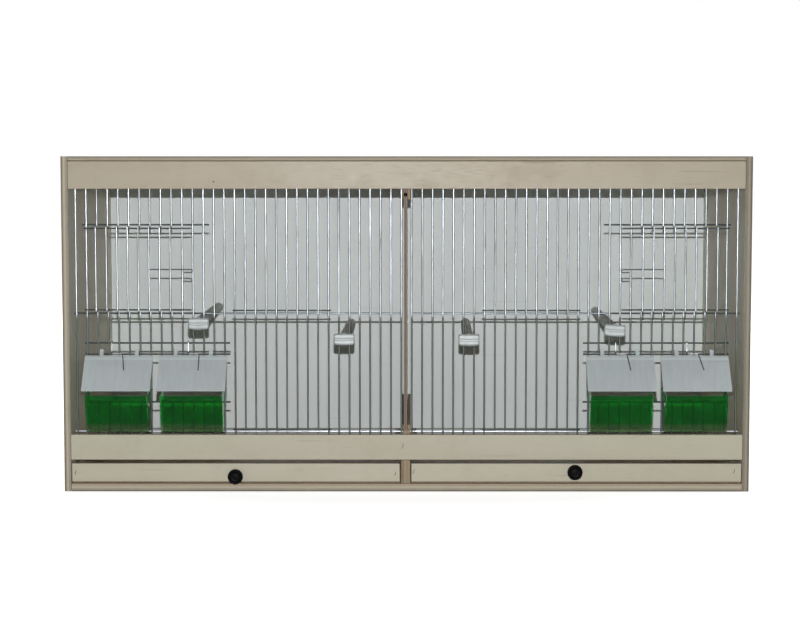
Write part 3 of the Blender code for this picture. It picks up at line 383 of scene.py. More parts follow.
post_layers = [(0.0, (0.17, 0.120, 0.070)), (0.30, (0.22, 0.165, 0.100)),
               (0.38, (0.32, 0.245, 0.152)), (0.56, (0.35, 0.265, 0.165)),
               (0.64, (0.16, 0.105, 0.062)), (0.70, (0.34, 0.250, 0.155)),
               (0.90, (0.30, 0.220, 0.135)), (1.0, (0.14, 0.090, 0.055))]
post_tint = (0.90, 0.86, 0.80)
ply_board("centre_post", "post_ply", "X", "Y", post_layers, tint=post_tint)
ply_board("centre_header", "header_ply", "X", "Y", post_layers, tint=post_tint)
guide_ply = plywood_finish("guide_ply", "lower_guide_left", "X", "Y", plies(3, (0.62, 0.48, 0.38)),
                           tint=(0.62, 0.50, 0.40))
for guide in ("lower_guide_left", "lower_guide_right", "upper_guide_left", "upper_guide_right"):
    sanded_board(guide, guide_ply, rounding=0.0003)

# Divider: a thin plywood sheet that slides out of the front and shows brown layers at its edge.
# A black plastic pin to pull it by is pressed into a hole near the top.

paint_as_it_is("divider", plywood_finish("divider_ply", "divider", "X", "Z",
                                         plies(3, (0.40, 0.34, 0.37)), tint=(0.96, 0.94, 0.88)))

plastic_black = (0.003, 0.003, 0.003)
plastic_dust = (0.20, 0.19, 0.17)

black_gloss, tree, shader, place = new_material("black_moulded_plastic")
used = handled(tree, (*plastic_black, 1.0), place, 0.5)
dust = noise(tree, place.outputs["Object"], 700.0, 3.0)
dusty = blend_colours(tree, between(tree, dust, 0.6, 0.8, 0.0, 0.03), used.outputs["Color"],
                      plastic_dust)
lay_on(tree, shader, dusty, between(tree, dust, 0.3, 0.7, 0.28, 0.46), dust, 0.1, 0.0001)
shader.inputs["Specular IOR Level"].default_value = 0.04


def turn_on_lathe(profile, start, axis, sides):
    """A closed bmesh of a (radius, distance) profile turned about an axis through a start point."""
    builder = bmesh.new()
    direction = Vector(axis).normalized()
    across = direction.orthogonal().normalized()
    other = direction.cross(across)
    turns = [2 * math.pi * k / sides for k in range(sides)]
    rings = []
    for radius, distance in profile:
        centre = Vector(start) + distance * direction
        rings.append([builder.verts.new(centre + radius * math.cos(turn) * across
                                        + radius * math.sin(turn) * other) for turn in turns])
    for near, far in zip(rings, rings[1:]):
        for k in range(sides):
            j = (k + 1) % sides
            builder.faces.new((near[k], near[j], far[j], far[k]))
    builder.faces.new(rings[0][::-1])
    builder.faces.new(rings[-1])
    bmesh.ops.recalc_face_normals(builder, faces=builder.faces)
    return builder


pin_low, pin_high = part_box("divider_pull")
pin_point = ((pin_low.x + pin_high.x) / 2, pin_low.y, (pin_low.z + pin_high.z) / 2)
pin_radius = (pin_high.x - pin_low.x) / 2
pin_head = 0.003
pin_shank = 0.0008
pin_profile = [(pin_radius * 0.25, 0.0), (pin_radius * 0.62, 0.00015), (pin_radius * 0.9, 0.0006),
               (pin_radius, 0.0013), (pin_radius * 0.98, pin_head), (pin_shank, pin_head),
               (pin_shank, pin_high.y - pin_low.y)]
add_piece("divider_pin", turn_on_lathe(pin_profile, pin_point, (0, 1, 0), 28), black_gloss,
          "divider_board", ["divider_pull"])

# Drawers: two trays of plywood walls stapled to a plywood front, with a hardboard bottom and back.
# A turned black plastic knob with a dished face is screwed to each front.

# The drawer bottoms' bare fibre is made lighter than the back panel's, as painted light for the
# shaded gap under the drawers.
lightened_drawer_hardboard = hardboard_finish("lightened_drawer_hardboard", "Z", -1.0, fibre=1.4)
# The drawer backs' white paint is dimmed to half, as painted shade.
back_hardboard = hardboard_finish("shaded_drawer_back_hardboard", "Y", -1.0, paint=0.5)

for side in ("left", "right"):
    body = "drawer_" + side
    ply_board("drawer_front_" + side, "drawer_front_ply_" + side, "Y", "X", plies(5), body,
              tint=(1.08, 1.10, 1.09))
    for wall in ("outer_wall", "inner_wall"):
        ply_board(f"drawer_{wall}_{side}", f"drawer_{wall}_ply_{side}", "X", "Y", plies(5), body)
    sanded_board("drawer_back_wall_" + side, back_hardboard, body)
    paint_as_it_is("drawer_bottom_" + side, lightened_drawer_hardboard)

    knob_low, knob_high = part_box("drawer_knob_" + side)
    knob_point = ((knob_low.x + knob_high.x) / 2, knob_high.y, (knob_low.z + knob_high.z) / 2)
    knob_radius = (knob_high.x - knob_low.x) / 2
    knob_length = knob_high.y - knob_low.y
    knob_profile = [(knob_radius * share, knob_length * rise) for share, rise in (
        (0.50, 0.0), (0.50, 0.26), (0.56, 0.32), (0.80, 0.36), (0.92, 0.44), (0.98, 0.53),
        (1.0, 0.63), (1.0, 0.80), (0.985, 0.88), (0.95, 0.95), (0.89, 0.99), (0.83, 1.0),
        (0.77, 0.99), (0.72, 0.95), (0.68, 0.89), (0.62, 0.85), (0.50, 0.835), (0.36, 0.83),
        (0.33, 0.85), (0.27, 0.865), (0.12, 0.87))]
    add_piece("drawer_turned_knob_" + side, turn_on_lathe(knob_profile, knob_point, (0, -1, 0), 64),
              black_gloss, body, ["drawer_knob_" + side])

# Staples and pin: dull steel, driven flush, which hold the drawer fronts to their boxes.
# One more staple holds the lower rail to the post, and one pin shows in the upper rail.

staple_crown = 0.0055
staple_width = 0.0007
staple_lean = math.radians(16)
steel_grey = (0.160, 0.140, 0.120)
steel_rust = (0.050, 0.032, 0.020)

fastener_steel, tree, shader, place = new_material("fastener_steel")
rust_share = between(tree, noise(tree, place.outputs["Object"], 900.0, 3.0), 0.42, 0.6)
tree.links.new(blend_colours(tree, rust_share, steel_grey, steel_rust), shader.inputs["Base Color"])
tree.links.new(between(tree, rust_share, 0.0, 1.0, 0.35, 0.75), shader.inputs["Roughness"])
shader.inputs["Metallic"].default_value = 0.6


def sweep(tree, curve, diameter, faces):
    """Round wire along a curve."""
    section = put(tree, "GeometryNodeCurvePrimitiveCircle", None, Resolution=faces,
                  Radius=compute(tree, "MULTIPLY", diameter, 0.5))
    return put(tree, "GeometryNodeCurveToMesh", None, Curve=curve,
               Profile_Curve=section.outputs["Curve"], Fill_Caps=True).outputs["Mesh"]


def hand_over(tree, geometry, finish, result):
    """Ends a Geometry Nodes tree: its copies are made real and given their material."""
    real = put(tree, "GeometryNodeRealizeInstances", None, Geometry=geometry)
    dressed = put(tree, "GeometryNodeSetMaterial", None, Geometry=real.outputs[0], Material=finish)
    tree.links.new(dressed.outputs[0], result)


staple_driver, given, result = new_group(
    "staple_driver",
    [("Points", "Geometry", None), ("Crown length", "Float", staple_crown),
     ("Wire width", "Float", staple_width), ("Lean", "Float", 0.0), ("Finish", "Material", None)],
    [("Staples", "Geometry")], "GeometryNodeTree")
crown_ends = [put(staple_driver, "ShaderNodeCombineXYZ", None,
                  Z=compute(staple_driver, "MULTIPLY", given["Crown length"], share)).outputs[0]
              for share in (-0.5, 0.5)]
crown = put(staple_driver, "GeometryNodeCurvePrimitiveLine", None, Start=crown_ends[0],
            End=crown_ends[1])
lean = put(staple_driver, "ShaderNodeCombineXYZ", None, Y=given["Lean"])
placed = put(staple_driver, "GeometryNodeInstanceOnPoints", None, Points=given["Points"],
             Instance=sweep(staple_driver, crown.outputs[0], given["Wire width"], 10),
             Rotation=lean.outputs[0])
hand_over(staple_driver, placed.outputs["Instances"], given["Finish"], result["Staples"])


def run_tree(name, tree, points, edges, settings):
    """Runs a Geometry Nodes tree on points and edges, and returns the plain mesh that it makes."""
    mesh = bpy.data.meshes.new(name)
    mesh.from_pydata([tuple(point) for point in points], edges, [])
    maker = bpy.data.objects.new(name, mesh)
    bpy.context.scene.collection.objects.link(maker)
    modifier = maker.modifiers.new(name, "NODES")
    modifier.node_group = tree
    for item in tree.interface.items_tree:
        if item.item_type == "SOCKET" and item.in_out == "INPUT" and item.name in settings:
            modifier[item.identifier] = settings[item.name]
    evaluated = maker.evaluated_get(bpy.context.evaluated_depsgraph_get())
    made = bpy.data.meshes.new_from_object(evaluated)
    bpy.data.objects.remove(maker)
    bpy.data.meshes.remove(mesh)
    made.name = name
    return made


front_face_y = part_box("drawer_front_left")[0].y - staple_width * 0.12
staple_points = {
    "drawer_left": [(-0.3967, front_face_y, 0.0230), (-0.0135, front_face_y, 0.0213)],
    "drawer_right": [(0.0087, front_face_y, 0.0244), (0.3924, front_face_y, 0.0247)],
    "cabinet": [(-0.0045, front_face_y, 0.0546)],
}
staple_settings = {"Crown length": staple_crown, "Wire width": staple_width, "Lean": staple_lean,
                   "Finish": fastener_steel}
for body, points in staple_points.items():
    staples = run_tree("staples_" + body, staple_driver, points, [], staple_settings)
    add_made("staples_" + body, staples, body)
rail_pin_profile = [(0.0011, 0.0), (0.0011, 0.0006), (0.0008, 0.00085), (0.0003, 0.0009)]
rail_pin_point = (-0.2288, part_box("top_rail")[0].y + 0.0007, 0.3701)
add_piece("rail_pin", turn_on_lathe(rail_pin_profile, rail_pin_point, (0, -1, 0), 20),
          fastener_steel, "cabinet")

# Wire front: upright round wires of galvanised steel, welded on the front of level bars.
# Gaps are cut in it for the doors and for each feeder, and its ends stand in the rails' grooves.

wire_diameter = 0.0020
wire_faces = 12
first_wire_x = 0.39375
outer_pitch = 0.01266
outer_wires = 13
wires_per_side = 32
last_outer_x = first_wire_x - (outer_wires - 1) * outer_pitch
inner_pitch = last_outer_x / (wires_per_side - outer_wires + 0.5)
wire_y = -0.194
bar_y = -0.192518
wire_low_z, wire_high_z = 0.0623, 0.3677
foot_z, sill_z, lintel_z = 0.0719, 0.1072, 0.1645
clip_z, mid_z, upper_z = 0.1780, 0.2135, 0.3190
# Each level bar: its height, and the wire at its outer and its inner end with the reach beyond each
bar_plan = [(foot_z, 1, 0.0030, 32, 0.0015), (mid_z, 1, 0.0030, 32, 0.0015),
            (sill_z, 2, 0.0035, 15, 0.0062), (lintel_z, 2, 0.0035, 15, 0.0062),
            (clip_z, 2, 0.0035, 15, 0.0062), (upper_z, 2, 0.0050, 13, 0.0070)]
wire_overrun = 0.0012
feeder_wires = (5, 12)
feeder_reach = 2
main_door_wires = range(17, 25)
nest_door_wires = range(3, 11)
front_bead = 0.0021
bead_squash = (1.15, 0.62, 1.15)
# Zinc colours: a painted highlight, a dull colour for tarnish and painted shade, and painted shade
# on the flanks.
zinc_highlight = (0.50, 0.55, 0.60)
zinc_tarnish_and_shade = (0.085, 0.100, 0.095)
zinc_flank_shade = (0.110, 0.135, 0.165)


def zinc_finish(name, bright, dull, roughness, shade_below_z, shade_beyond_x=9.0):
    """Zinc on drawn wire: a painted highlight in front, painted shade on its flanks and below and
    beyond set places, and random tarnish.
    """
    material, tree, shader, place = new_material(name)
    parts = put(tree, "ShaderNodeSeparateXYZ", None, Vector=place.outputs["Object"])
    spangle = put(tree, "ShaderNodeTexVoronoi", None, Vector=place.outputs["Object"], Scale=520.0)
    tarnish = noise(tree, place.outputs["Object"], 42.0, 5.0)
    drawn = noise(tree, place.outputs["Object"], (2600.0, 2600.0, 30.0), 2.0)
    long_wear = noise(tree, place.outputs["Object"], (70.0, 70.0, 5.0), 1.0)
    # Painted shade: darker below one height and beyond one reach from the middle.
    shade_below_mask = between(tree, parts.outputs["Z"], shade_below_z, shade_below_z - 0.006)
    outwards = compute(tree, "ABSOLUTE", parts.outputs["X"])
    outside = between(tree, outwards, shade_beyond_x, shade_beyond_x + 0.01)
    patches = compute(tree, "ADD", between(tree, tarnish, 0.42, 0.68, 0.0, 0.25),
                      between(tree, long_wear, 0.4, 0.7, 0.0, 0.45))
    # The dull colour is painted shade where those two masks hold, and random tarnish in the
    # patches.
    share = compute(tree, "MAXIMUM", compute(tree, "MAXIMUM", shade_below_mask, outside), patches)
    facing = put(tree, "ShaderNodeSeparateXYZ", None, Vector=place.outputs["Normal"])
    # Painted highlight: the face toward the front is bright, and the flanks are painted shade.
    wear_and_highlight = between(tree, facing.outputs["Y"], -0.70, -0.94)
    zinc = blend_colours(tree, share, blend_colours(tree, wear_and_highlight, zinc_flank_shade, bright), dull)
    flecks = between(tree, spangle.outputs["Color"], 0.0, 1.0, 0.0, 0.22)
    rough = compute(tree, "MULTIPLY_ADD", share, 0.16, roughness)
    lay_on(tree, shader, blend_colours(tree, flecks, zinc, dull),
           compute(tree, "MULTIPLY_ADD", drawn, 0.1, rough), drawn, 0.15, 0.00008)
    shader.inputs["Metallic"].default_value = 0.92
    return material


# The front's wires are painted dark below the mid bar as painted shade, with the painted highlight
# on their fronts.
front_zinc = zinc_finish("front_wire_zinc", zinc_highlight, zinc_tarnish_and_shade, 0.26, mid_z)
# The mid bar is painted light in its middle as a painted highlight, and dark beyond a reach as
# painted shade.
mid_bar_highlight_and_shade_zinc = zinc_finish("mid_bar_highlight_and_shade_zinc", (0.24, 0.27, 0.29), (0.045, 0.053, 0.048), 0.28, 0.0,
                           shade_beyond_x=0.236)
# The foot bar is painted pale, as a painted highlight along it.
foot_bar_highlight_zinc = zinc_finish("foot_bar_highlight_zinc", (0.62, 0.64, 0.68), (0.42, 0.45, 0.47), 0.24, 0.0)
# The short level bars and the doors' bent level wires are painted near black, as painted shade.
shaded_level_zinc = zinc_finish("shaded_level_bar_zinc", (0.045, 0.052, 0.047), (0.026, 0.030, 0.026), 0.30, 0.0)

wire_bender, given, result = new_group(
    "wire_bender",
    [("Paths", "Geometry", None), ("Wire diameter", "Float", wire_diameter),
     ("Faces round", "Int", wire_faces), ("Finish", "Material", None)],
    [("Wires", "Geometry")], "GeometryNodeTree")
curves = put(wire_bender, "GeometryNodeMeshToCurve", None, Mesh=given["Paths"])
swept = sweep(wire_bender, curves.outputs["Curve"], given["Wire diameter"], given["Faces round"])
hand_over(wire_bender, swept, given["Finish"], result["Wires"])

weld_beads, given, result = new_group(
    "weld_beads",
    [("Crossings", "Geometry", None), ("Bead width", "Float", front_bead),
     ("Finish", "Material", None)],
    [("Beads", "Geometry")], "GeometryNodeTree")
bead = put(weld_beads, "GeometryNodeMeshIcoSphere", None, Subdivisions=2,
           Radius=compute(weld_beads, "MULTIPLY", given["Bead width"], 0.5))
placed = put(weld_beads, "GeometryNodeInstanceOnPoints", None, Points=given["Crossings"],
             Instance=bead.outputs["Mesh"], Scale=bead_squash)
hand_over(weld_beads, placed.outputs["Instances"], given["Finish"], result["Beads"])


def bend_wires(name, paths, diameter, finish, body, stands_for=()):
    """A piece made of wires that follow the given paths."""
    points, edges = [], []
    for path in paths:
        first = len(points)
        points.extend(path)
        edges.extend((i, i + 1) for i in range(first, len(points) - 1))
    mesh = run_tree(name, wire_bender, points, edges,
                    {"Wire diameter": diameter, "Faces round": wire_faces, "Finish": finish})
    add_made(name, mesh, body, stands_for)


def add_welds(name, points, width, finish, body):
    """Small flattened beads where wires are welded."""
    beads = run_tree(name, weld_beads, points, [], {"Bead width": width, "Finish": finish})
    add_made(name, beads, body)


def wire_x(side, number):
    """Where a front wire stands, counted from the outside inwards."""
    if number <= outer_wires:
        return side * (first_wire_x - (number - 1) * outer_pitch)
    return side * (last_outer_x - (number - outer_wires) * inner_pitch)


def upright_spans(number):
    """The stretches, as (low, high), that one upright wire fills between rail and rail."""
    spans = []
    low_z = mid_z - wire_overrun if number in main_door_wires else wire_low_z
    if any(abs(number - centre) <= feeder_reach for centre in feeder_wires):
        spans.append((low_z, sill_z + wire_overrun))
        low_z = lintel_z - wire_overrun
    if number in nest_door_wires:
        spans.append((low_z, mid_z + wire_overrun))
        low_z = upper_z - wire_overrun
    return spans + [(low_z, wire_high_z)]


for side_name, side in (("left", -1), ("right", 1)):
    level_bars = [
        (wire_x(side, outer) + side * past_outer, wire_x(side, inner) - side * past_inner, z)
        for z, outer, past_outer, inner, past_inner in bar_plan]
    paths, crossings = [], []
    for number in range(1, wires_per_side + 1):
        x = wire_x(side, number)
        for low_z, high_z in upright_spans(number):
            paths.append([(x, wire_y, low_z), (x, wire_y, high_z)])
            crossings += [(x, (wire_y + bar_y) / 2, z) for start_x, end_x, z in level_bars
                          if min(start_x, end_x) < x < max(start_x, end_x) and low_z < z < high_z]
    bend_wires("upright_wires_" + side_name, paths, wire_diameter, front_zinc, "cabinet",
               ["wire_front_" + side_name])
    for bar_name, bars, finish in (("foot_bar_", level_bars[:1], foot_bar_highlight_zinc),
                                   ("mid_bar_", level_bars[1:2], mid_bar_highlight_and_shade_zinc),
                                   ("short_bars_", level_bars[2:], shaded_level_zinc)):
        bar_paths = [[(start_x, bar_y, z), (end_x, bar_y, z)] for start_x, end_x, z in bars]
        bend_wires(bar_name + side_name, bar_paths, wire_diameter, finish, "cabinet")
    add_welds("wire_front_welds_" + side_name, crossings, front_bead, front_zinc, "cabinet")

# Main doors: eight thinner wires welded between two level wires.
# The level wires' ends are hooked round the front's wires, and each door slides up on those hooks.

door_wire = 0.0018
door_bead = 0.0019
door_eye = 0.00225
door_flat = door_wire / 2 * math.cos(math.pi / 6)
weld_depth = 0.00025
door_bar_y = -0.19625
door_wire_y = door_bar_y - 2 * door_flat + weld_depth
door_overrun = 0.0015
above_foot, above_mid = 0.00235, 0.0036
main_low_z, main_high_z = foot_z + above_foot, mid_z + above_mid
# The doors' wires are painted dark below just over the mid bar as painted shade, with the painted
# highlight on their fronts.
door_zinc = zinc_finish("door_wire_zinc", zinc_highlight, zinc_tarnish_and_shade, 0.26, mid_z + 0.001)


def arc_xy(centre_x, centre_y, z, radius, start, end, steps):
    """Points of an arc in a level plane, with its angles in degrees."""
    angles = [math.radians(start + (end - start) * i / steps) for i in range(steps + 1)]
    return [(centre_x + radius * math.cos(a), centre_y + radius * math.sin(a), z) for a in angles]


def add_door(name, bends, side_name, body, places_x, levels, level_wires):
    """A wire door: uprights, which stand for its CAD node, bent level wires, and welds."""
    ends = levels[0] - door_overrun, levels[1] + door_overrun
    uprights = [[(x, door_wire_y, z) for z in ends] for x in places_x]
    welds = [(x, (door_wire_y + door_bar_y) / 2, z) for x in places_x for z in levels]
    bend_wires(name + side_name, uprights, door_wire, door_zinc, body, [body])
    bend_wires(name + bends + side_name, level_wires, door_wire, shaded_level_zinc, body)
    add_welds(name + "welds_" + side_name, welds, door_bead, door_zinc, body)


for side_name, side in (("left", -1), ("right", 1)):
    left_x, right_x = sorted((wire_x(side, 16), wire_x(side, 25)))
    levels = main_low_z, main_high_z
    hooked = [arc_xy(left_x, wire_y, z, door_eye, -280, -90, 14)
              + arc_xy(right_x, wire_y, z, door_eye, -90, 100, 14) for z in levels]
    add_door("sliding_door_", "hooks_", side_name, "main_door_" + side_name,
             [wire_x(side, number) for number in main_door_wires], levels, hooked)

# Nest doors: eight wires between two level wires that end in eyes round an upright wire.
# A thinner spring wire across the door is bent back on itself, and catches on the stop wire.

nest_inset = 0.0043
nest_low_z, nest_high_z = mid_z + nest_inset, upper_z - nest_inset
nest_shift = 0.0014
nest_free_reach = 0.0017
catch_wire = 0.0015
catch_bend = 0.0018
catch_reach = 0.0095
catch_gap = 0.0003
catch_rise = 0.0481
catch_z = nest_low_z + catch_rise
catch_y = door_wire_y + door_flat + catch_gap + catch_wire / 2
# The nest doors' spring wire is painted dark, as painted shade.
shaded_spring_zinc = zinc_finish("shaded_spring_wire_zinc", (0.075, 0.082, 0.078), (0.036, 0.040, 0.036), 0.26,
                          0.0)

for side_name, side in (("left", -1), ("right", 1)):
    hinge_x = wire_x(side, 2)
    free_x = wire_x(side, 12) + side * nest_free_reach
    body = "nest_door_" + side_name
    levels = nest_low_z, nest_high_z
    eyed = [[(free_x, door_bar_y, z)]
            + arc_xy(hinge_x, wire_y, z, door_eye, -90, -90 + side * 250, 18) for z in levels]
    add_door("hinged_door_", "eyes_", side_name, body,
             [wire_x(side, number) + side * nest_shift for number in nest_door_wires], levels, eyed)

    tip_x = wire_x(side, 12) + side * (wire_diameter / 2 + catch_bend)
    catch_path = [(wire_x(side, 8) + side * 2 * nest_shift, catch_y, catch_z)]
    for i in range(13):
        angle = math.radians(90 - 15 * i)
        catch_path.append((tip_x - side * catch_bend * math.cos(angle), catch_y,
                           catch_z - catch_bend * (1 - math.sin(angle))))
    catch_end_x = tip_x + side * (catch_reach - catch_bend)
    catch_path.append((catch_end_x, catch_y, catch_z - 2 * catch_bend))
    bend_wires("nest_door_latch_" + side_name, [catch_path], catch_wire, shaded_spring_zinc, body,
               ["nest_door_catch_" + side_name])

# Feeder hoods: moulded pale grey plastic, each a sloping roof with two end walls.
# Two hooks moulded on the roof go over the lintel bar, so that the hood can be swung up.

# A paler band just below the roof's top is a painted highlight along the ridge; the flow pattern is
# random tone.
hood_grey = (0.480, 0.535, 0.550)
hood_highlight = (0.610, 0.665, 0.675)
highlight_z = lintel_z - 0.0046

hood_plastic, tree, shader, place = new_material("hood_moulding")
parts = put(tree, "ShaderNodeSeparateXYZ", None, Vector=place.outputs["Object"])
flow = noise(tree, place.outputs["Object"], (210.0, 40.0, 14.0), 3.0)
stipple = noise(tree, place.outputs["Object"], 1500.0, 2.0)
from_highlight = compute(tree, "ABSOLUTE", compute(tree, "SUBTRACT", parts.outputs["Z"], highlight_z))
tone = compute(tree, "ADD", between(tree, from_highlight, 0.0008, 0.0018, 0.9, 0.0),
               between(tree, flow, 0.3, 0.7, 0.0, 0.4))
used = handled(tree, blend_colours(tree, tone, hood_grey, hood_highlight), place, 0.25)
lay_on(tree, shader, used.outputs["Color"], between(tree, flow, 0.3, 0.7, 0.34, 0.46), stipple,
       0.12, 0.0001)
shader.inputs["Subsurface Weight"].default_value = 0.08
shader.inputs["Subsurface Scale"].default_value = 0.002

for number in range(1, 5):
    add_rounded(f"moulded_hood_{number}", f"feeder_hood_{number}", hood_plastic, f"hood_{number}",
                rounding=0.0005, angle=30.0)

# Hood retainers: spring wire bent by hand, with an eye round the clip bar and a tail on each roof.
# Each presses its hood down, and swings up with it.

retainer_wire = 0.0013
# The retainer wire is painted bright above a height just over the lintel bar, as a painted
# highlight on its leg, and dark below it, as painted shade on its tail.
retainer_highlight_and_shade_zinc = zinc_finish("retainer_highlight_and_shade_zinc", (0.85, 0.87, 0.88), (0.070, 0.075, 0.070), 0.26,
                            lintel_z + 0.004)
eye_turn = 285
leg_offset = 0.0066
shoulder = 0.0012
tail_drop = 0.0165
hook_clearance = 0.00035
roof_root = (0.0064, -0.0012)
roof_edge = (0.046, -0.039)
retainer_offsets = (-0.0024, 0.0003, 0.0017, -0.0017)
retainer_leans = (0.0032, 0.0002, 0.0032, 0.0047)
roof_slope = math.atan2(roof_root[1] - roof_edge[1], roof_edge[0] - roof_root[0])


def rounded_bends(points, radius, steps):
    """A path with an arc in place of each of its inner corners."""
    path = [Vector(points[0])]
    for before, corner, after in zip(points, points[1:], points[2:]):
        corner = Vector(corner)
        inwards = (Vector(before) - corner).normalized()
        onwards = (Vector(after) - corner).normalized()
        half_angle = inwards.angle(onwards) / 2
        reach = radius / math.tan(half_angle)
        centre = corner + (inwards + onwards).normalized() * radius / math.sin(half_angle)
        first, last = corner + inwards * reach - centre, corner + onwards * reach - centre
        path += [centre + radius * first.slerp(last, i / steps).normalized()
                 for i in range(steps + 1)]
    return path + [Vector(points[-1])]


for number in range(1, 5):
    hood_low, hood_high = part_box(f"feeder_hood_{number}")
    middle_x = (hood_low.x + hood_high.x) / 2 + retainer_offsets[number - 1]
    leg_x, tail_x = middle_x - leg_offset, middle_x + leg_offset
    eye_radius = wire_diameter / 2 + hook_clearance + retainer_wire / 2
    eye = []
    for i in range(25):
        angle = math.radians(eye_turn * (1 - i / 24))
        eye.append((leg_x, bar_y - eye_radius * math.cos(angle),
                    clip_z + eye_radius * math.sin(angle)))
    clear = retainer_wire / 2 + hook_clearance
    root = (roof_root[0] + clear * math.sin(roof_slope),
            roof_root[1] + clear * math.cos(roof_slope))
    above = (root[0] - shoulder, root[1] + shoulder)
    tail = (root[0] + tail_drop / math.tan(roof_slope), root[1] - tail_drop)
    corners = [
        eye[-1],
        (leg_x, bar_y - eye_radius, lintel_z + above[1] + eye_radius),
        (leg_x, bar_y - above[0], lintel_z + above[1]),
        (tail_x, bar_y - above[0], lintel_z + above[1]),
        (tail_x + retainer_leans[number - 1], bar_y - tail[0], lintel_z + tail[1]),
    ]
    bent = eye[:-1] + rounded_bends(corners, 1.5 * retainer_wire, 6)
    bend_wires(f"hood_spring_{number}", [bent], retainer_wire, retainer_highlight_and_shade_zinc, f"retainer_{number}",
               [f"hood_retainer_{number}"])

# Feeder dishes: tinted see-through green plastic, moulded thin, with a sloping front.
# Two hooks on the back go over the sill bar, and the rim is smooth and slightly thicker.

dish_green = (0.030, 0.480, 0.085)
dish_bright = (0.050, 0.600, 0.120)
husk_pale = (0.520, 0.600, 0.400)
husks_low_z, husks_high_z = 0.0805, 0.0850

dish_plastic, tree, shader, place = new_material("green_see_through_plastic")
flow = noise(tree, place.outputs["Object"], 60.0, 3.0)
specks = noise(tree, place.outputs["Object"], 420.0, 3.0)
parts = put(tree, "ShaderNodeSeparateXYZ", None, Vector=place.outputs["Object"])
tinted = blend_colours(tree, between(tree, flow, 0.35, 0.65), dish_green, dish_bright)
low_down = between(tree, parts.outputs["Z"], husks_high_z, husks_low_z)
husks = compute(tree, "MULTIPLY", between(tree, specks, 0.42, 0.6, 0.55, 1.0), low_down)
lay_on(tree, shader, blend_colours(tree, husks, tinted, husk_pale),
       between(tree, specks, 0.3, 0.7, 0.02, 0.07), flow, 0.1, 0.0006)
shader.inputs["Transmission Weight"].default_value = 0.96
shader.inputs["Specular IOR Level"].default_value = 0.2
shader.inputs["Specular Tint"].default_value = (0.10, 0.24, 0.12, 1.0)
shader.inputs["IOR"].default_value = 1.49

for number in range(1, 5):
    add_rounded(f"moulded_dish_{number}", f"feeder_dish_{number}", dish_plastic, f"dish_{number}",
                rounding=0.0004, angle=30.0)

# Perches: ribbed and dimpled grey plastic rods from front to back, with a white clip on each.
# A neck passes between two wires into the clip, and a peg goes into the back panel.

rod_grey = (0.760, 0.795, 0.770)
rod_dark = (0.390, 0.400, 0.375)
clip_white = (0.430, 0.475, 0.476)
clip_aged = (0.340, 0.375, 0.372)

rod_plastic, tree, shader, place = new_material("perch_rod_plastic")
dimples = put(tree, "ShaderNodeTexVoronoi", {"feature": "SMOOTH_F1"},
              Vector=place.outputs["Object"], Scale=420.0)
mottle = between(tree, noise(tree, place.outputs["Object"], 150.0, 4.0), 0.38, 0.66)
used = handled(tree, blend_colours(tree, mottle, rod_grey, rod_dark), place, 0.5)
lay_on(tree, shader, used.outputs["Color"], between(tree, mottle, 0.0, 1.0, 0.5, 0.68),
       dimples.outputs["Distance"], 0.6, 0.0006)

clip_plastic, tree, shader, place = new_material("perch_clip_plastic")
flow = noise(tree, place.outputs["Object"], 120.0, 4.0)
aged = blend_colours(tree, between(tree, flow, 0.35, 0.7, 0.0, 0.5), clip_white, clip_aged)
lay_on(tree, shader, handled(tree, aged, place, 0.3).outputs["Color"],
       between(tree, flow, 0.3, 0.7, 0.28, 0.42), flow, 0.1, 0.0002)
shader.inputs["Subsurface Weight"].default_value = 0.1
shader.inputs["Subsurface Scale"].default_value = 0.002

for number in range(1, 5):
    rod, body = f"perch_rod_{number}", f"perch_{number}"
    add_piece(f"dimpled_perch_{number}", merged_copy(rod), rod_plastic, body,
              [rod])
    add_rounded(f"moulded_clip_{number}", f"perch_clip_{number}", clip_plastic, body,
                rounding=0.0004, angle=25.0)

# Room: a plain pale floor with soft studio light from beside and above the camera.
# The floor and the world are white where the camera or a glossy or clear surface sees them.

near_glow, far_glow = 0.80, 0.97
floor_grey = (0.6, 0.6, 0.6, 1.0)
soft_warm = (1.0, 0.93, 0.82, 1.0)
plain_white = (1.0, 1.0, 1.0, 1.0)

floor_builder = bmesh.new()
bmesh.ops.create_grid(floor_builder, x_segments=1, y_segments=1, size=12.0)
floor_mesh = bpy.data.meshes.new("floor")
floor_builder.to_mesh(floor_mesh)
floor_builder.free()
floor = bpy.data.objects.new("floor", floor_mesh)
floor.location = (0, 0, -0.0005)
bpy.context.scene.collection.objects.link(floor)


def looked_at(tree):
    """One for the camera and for glossy and clear surfaces, and nought for soft light."""
    path = put(tree, "ShaderNodeLightPath").outputs
    return compute(tree, "MAXIMUM", path["Is Camera Ray"],
                   compute(tree, "MAXIMUM", path["Is Glossy Ray"], path["Is Transmission Ray"]))


floor_paint, tree, shader, place = new_material("pale_floor")
away = put(tree, "ShaderNodeVectorMath", {"operation": "LENGTH"}, _0=place.outputs["Object"])
far_share = between(tree, away.outputs["Value"], 0.6, 2.6, near_glow, far_glow)
glow_share = compute(tree, "MULTIPLY", looked_at(tree), far_share)
glow = blend_colours(tree, glow_share, (0, 0, 0), plain_white)
tree.links.new(glow, shader.inputs["Emission Color"])
shader.inputs["Base Color"].default_value = floor_grey
shader.inputs["Roughness"].default_value = 0.9
shader.inputs["Emission Strength"].default_value = 1.0
floor_mesh.materials.append(floor_paint)

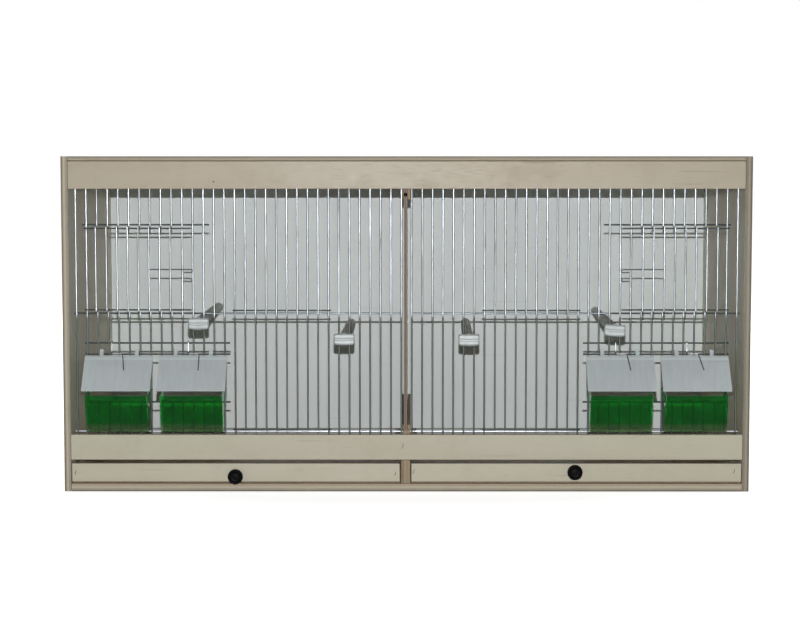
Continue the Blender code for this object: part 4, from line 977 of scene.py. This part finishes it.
world = bpy.data.worlds.new("studio")
bpy.context.scene.world = world
world.use_nodes = True
tree = world.node_tree
for node in list(tree.nodes):
    tree.nodes.remove(node)
soft = put(tree, "ShaderNodeBackground", None, Color=soft_warm, Strength=0.045)
white = put(tree, "ShaderNodeBackground", None, Color=plain_white, Strength=1.0)
mixed = put(tree, "ShaderNodeMixShader", None, _0=looked_at(tree), _1=soft.outputs[0],
            _2=white.outputs[0])
put(tree, "ShaderNodeOutputWorld", None, Surface=mixed.outputs[0])


def add_softbox(name, place, aim, width, height, power):
    """A rectangular lamp at a place, turned to face a point."""
    lamp = bpy.data.lights.new(name, "AREA")
    lamp.shape = "RECTANGLE"
    lamp.size, lamp.size_y, lamp.energy = width, height, power
    holder = bpy.data.objects.new(name, lamp)
    holder.location = place
    holder.rotation_euler = (Vector(aim) - Vector(place)).to_track_quat("-Z", "Y").to_euler()
    bpy.context.scene.collection.objects.link(holder)


cage_middle, cage_front = (0, 0, 0.2), (0, -0.2, 0.2)
add_softbox("front_lamp", (0.006, -2.96, 0.47), cage_front, 0.012, 0.005, 51.0)
add_softbox("front_fill", (0.0, -3.2, 1.1), cage_front, 1.6, 0.8, 1.5)
add_softbox("left_softbox", (-3.2, 0.9, 1.6), cage_middle, 1.4, 1.2, 60.0)
add_softbox("right_softbox", (3.2, 0.9, 1.6), cage_middle, 1.4, 1.2, 60.0)
add_softbox("back_softbox", (0, 3.6, 1.8), cage_middle, 1.6, 1.2, 60.0)

picture_width = 800
focal_pixels = 2331.19
camera_dip, camera_turn = 0.0922, 0.0031
camera = bpy.data.cameras.new("camera")
camera.sensor_width = 36.0
camera.lens = focal_pixels / picture_width * camera.sensor_width
camera.shift_x = -4.04 / picture_width
camera.shift_y = 66.49 / picture_width
camera_holder = bpy.data.objects.new("camera", camera)
camera_holder.location = (0.0056, -2.9715, 0.3851)
camera_holder.rotation_euler = (math.pi / 2 - camera_dip, 0.0, camera_turn)
bpy.context.scene.collection.objects.link(camera_holder)
bpy.context.scene.camera = camera_holder
bpy.context.scene.view_settings.view_transform = "Standard"
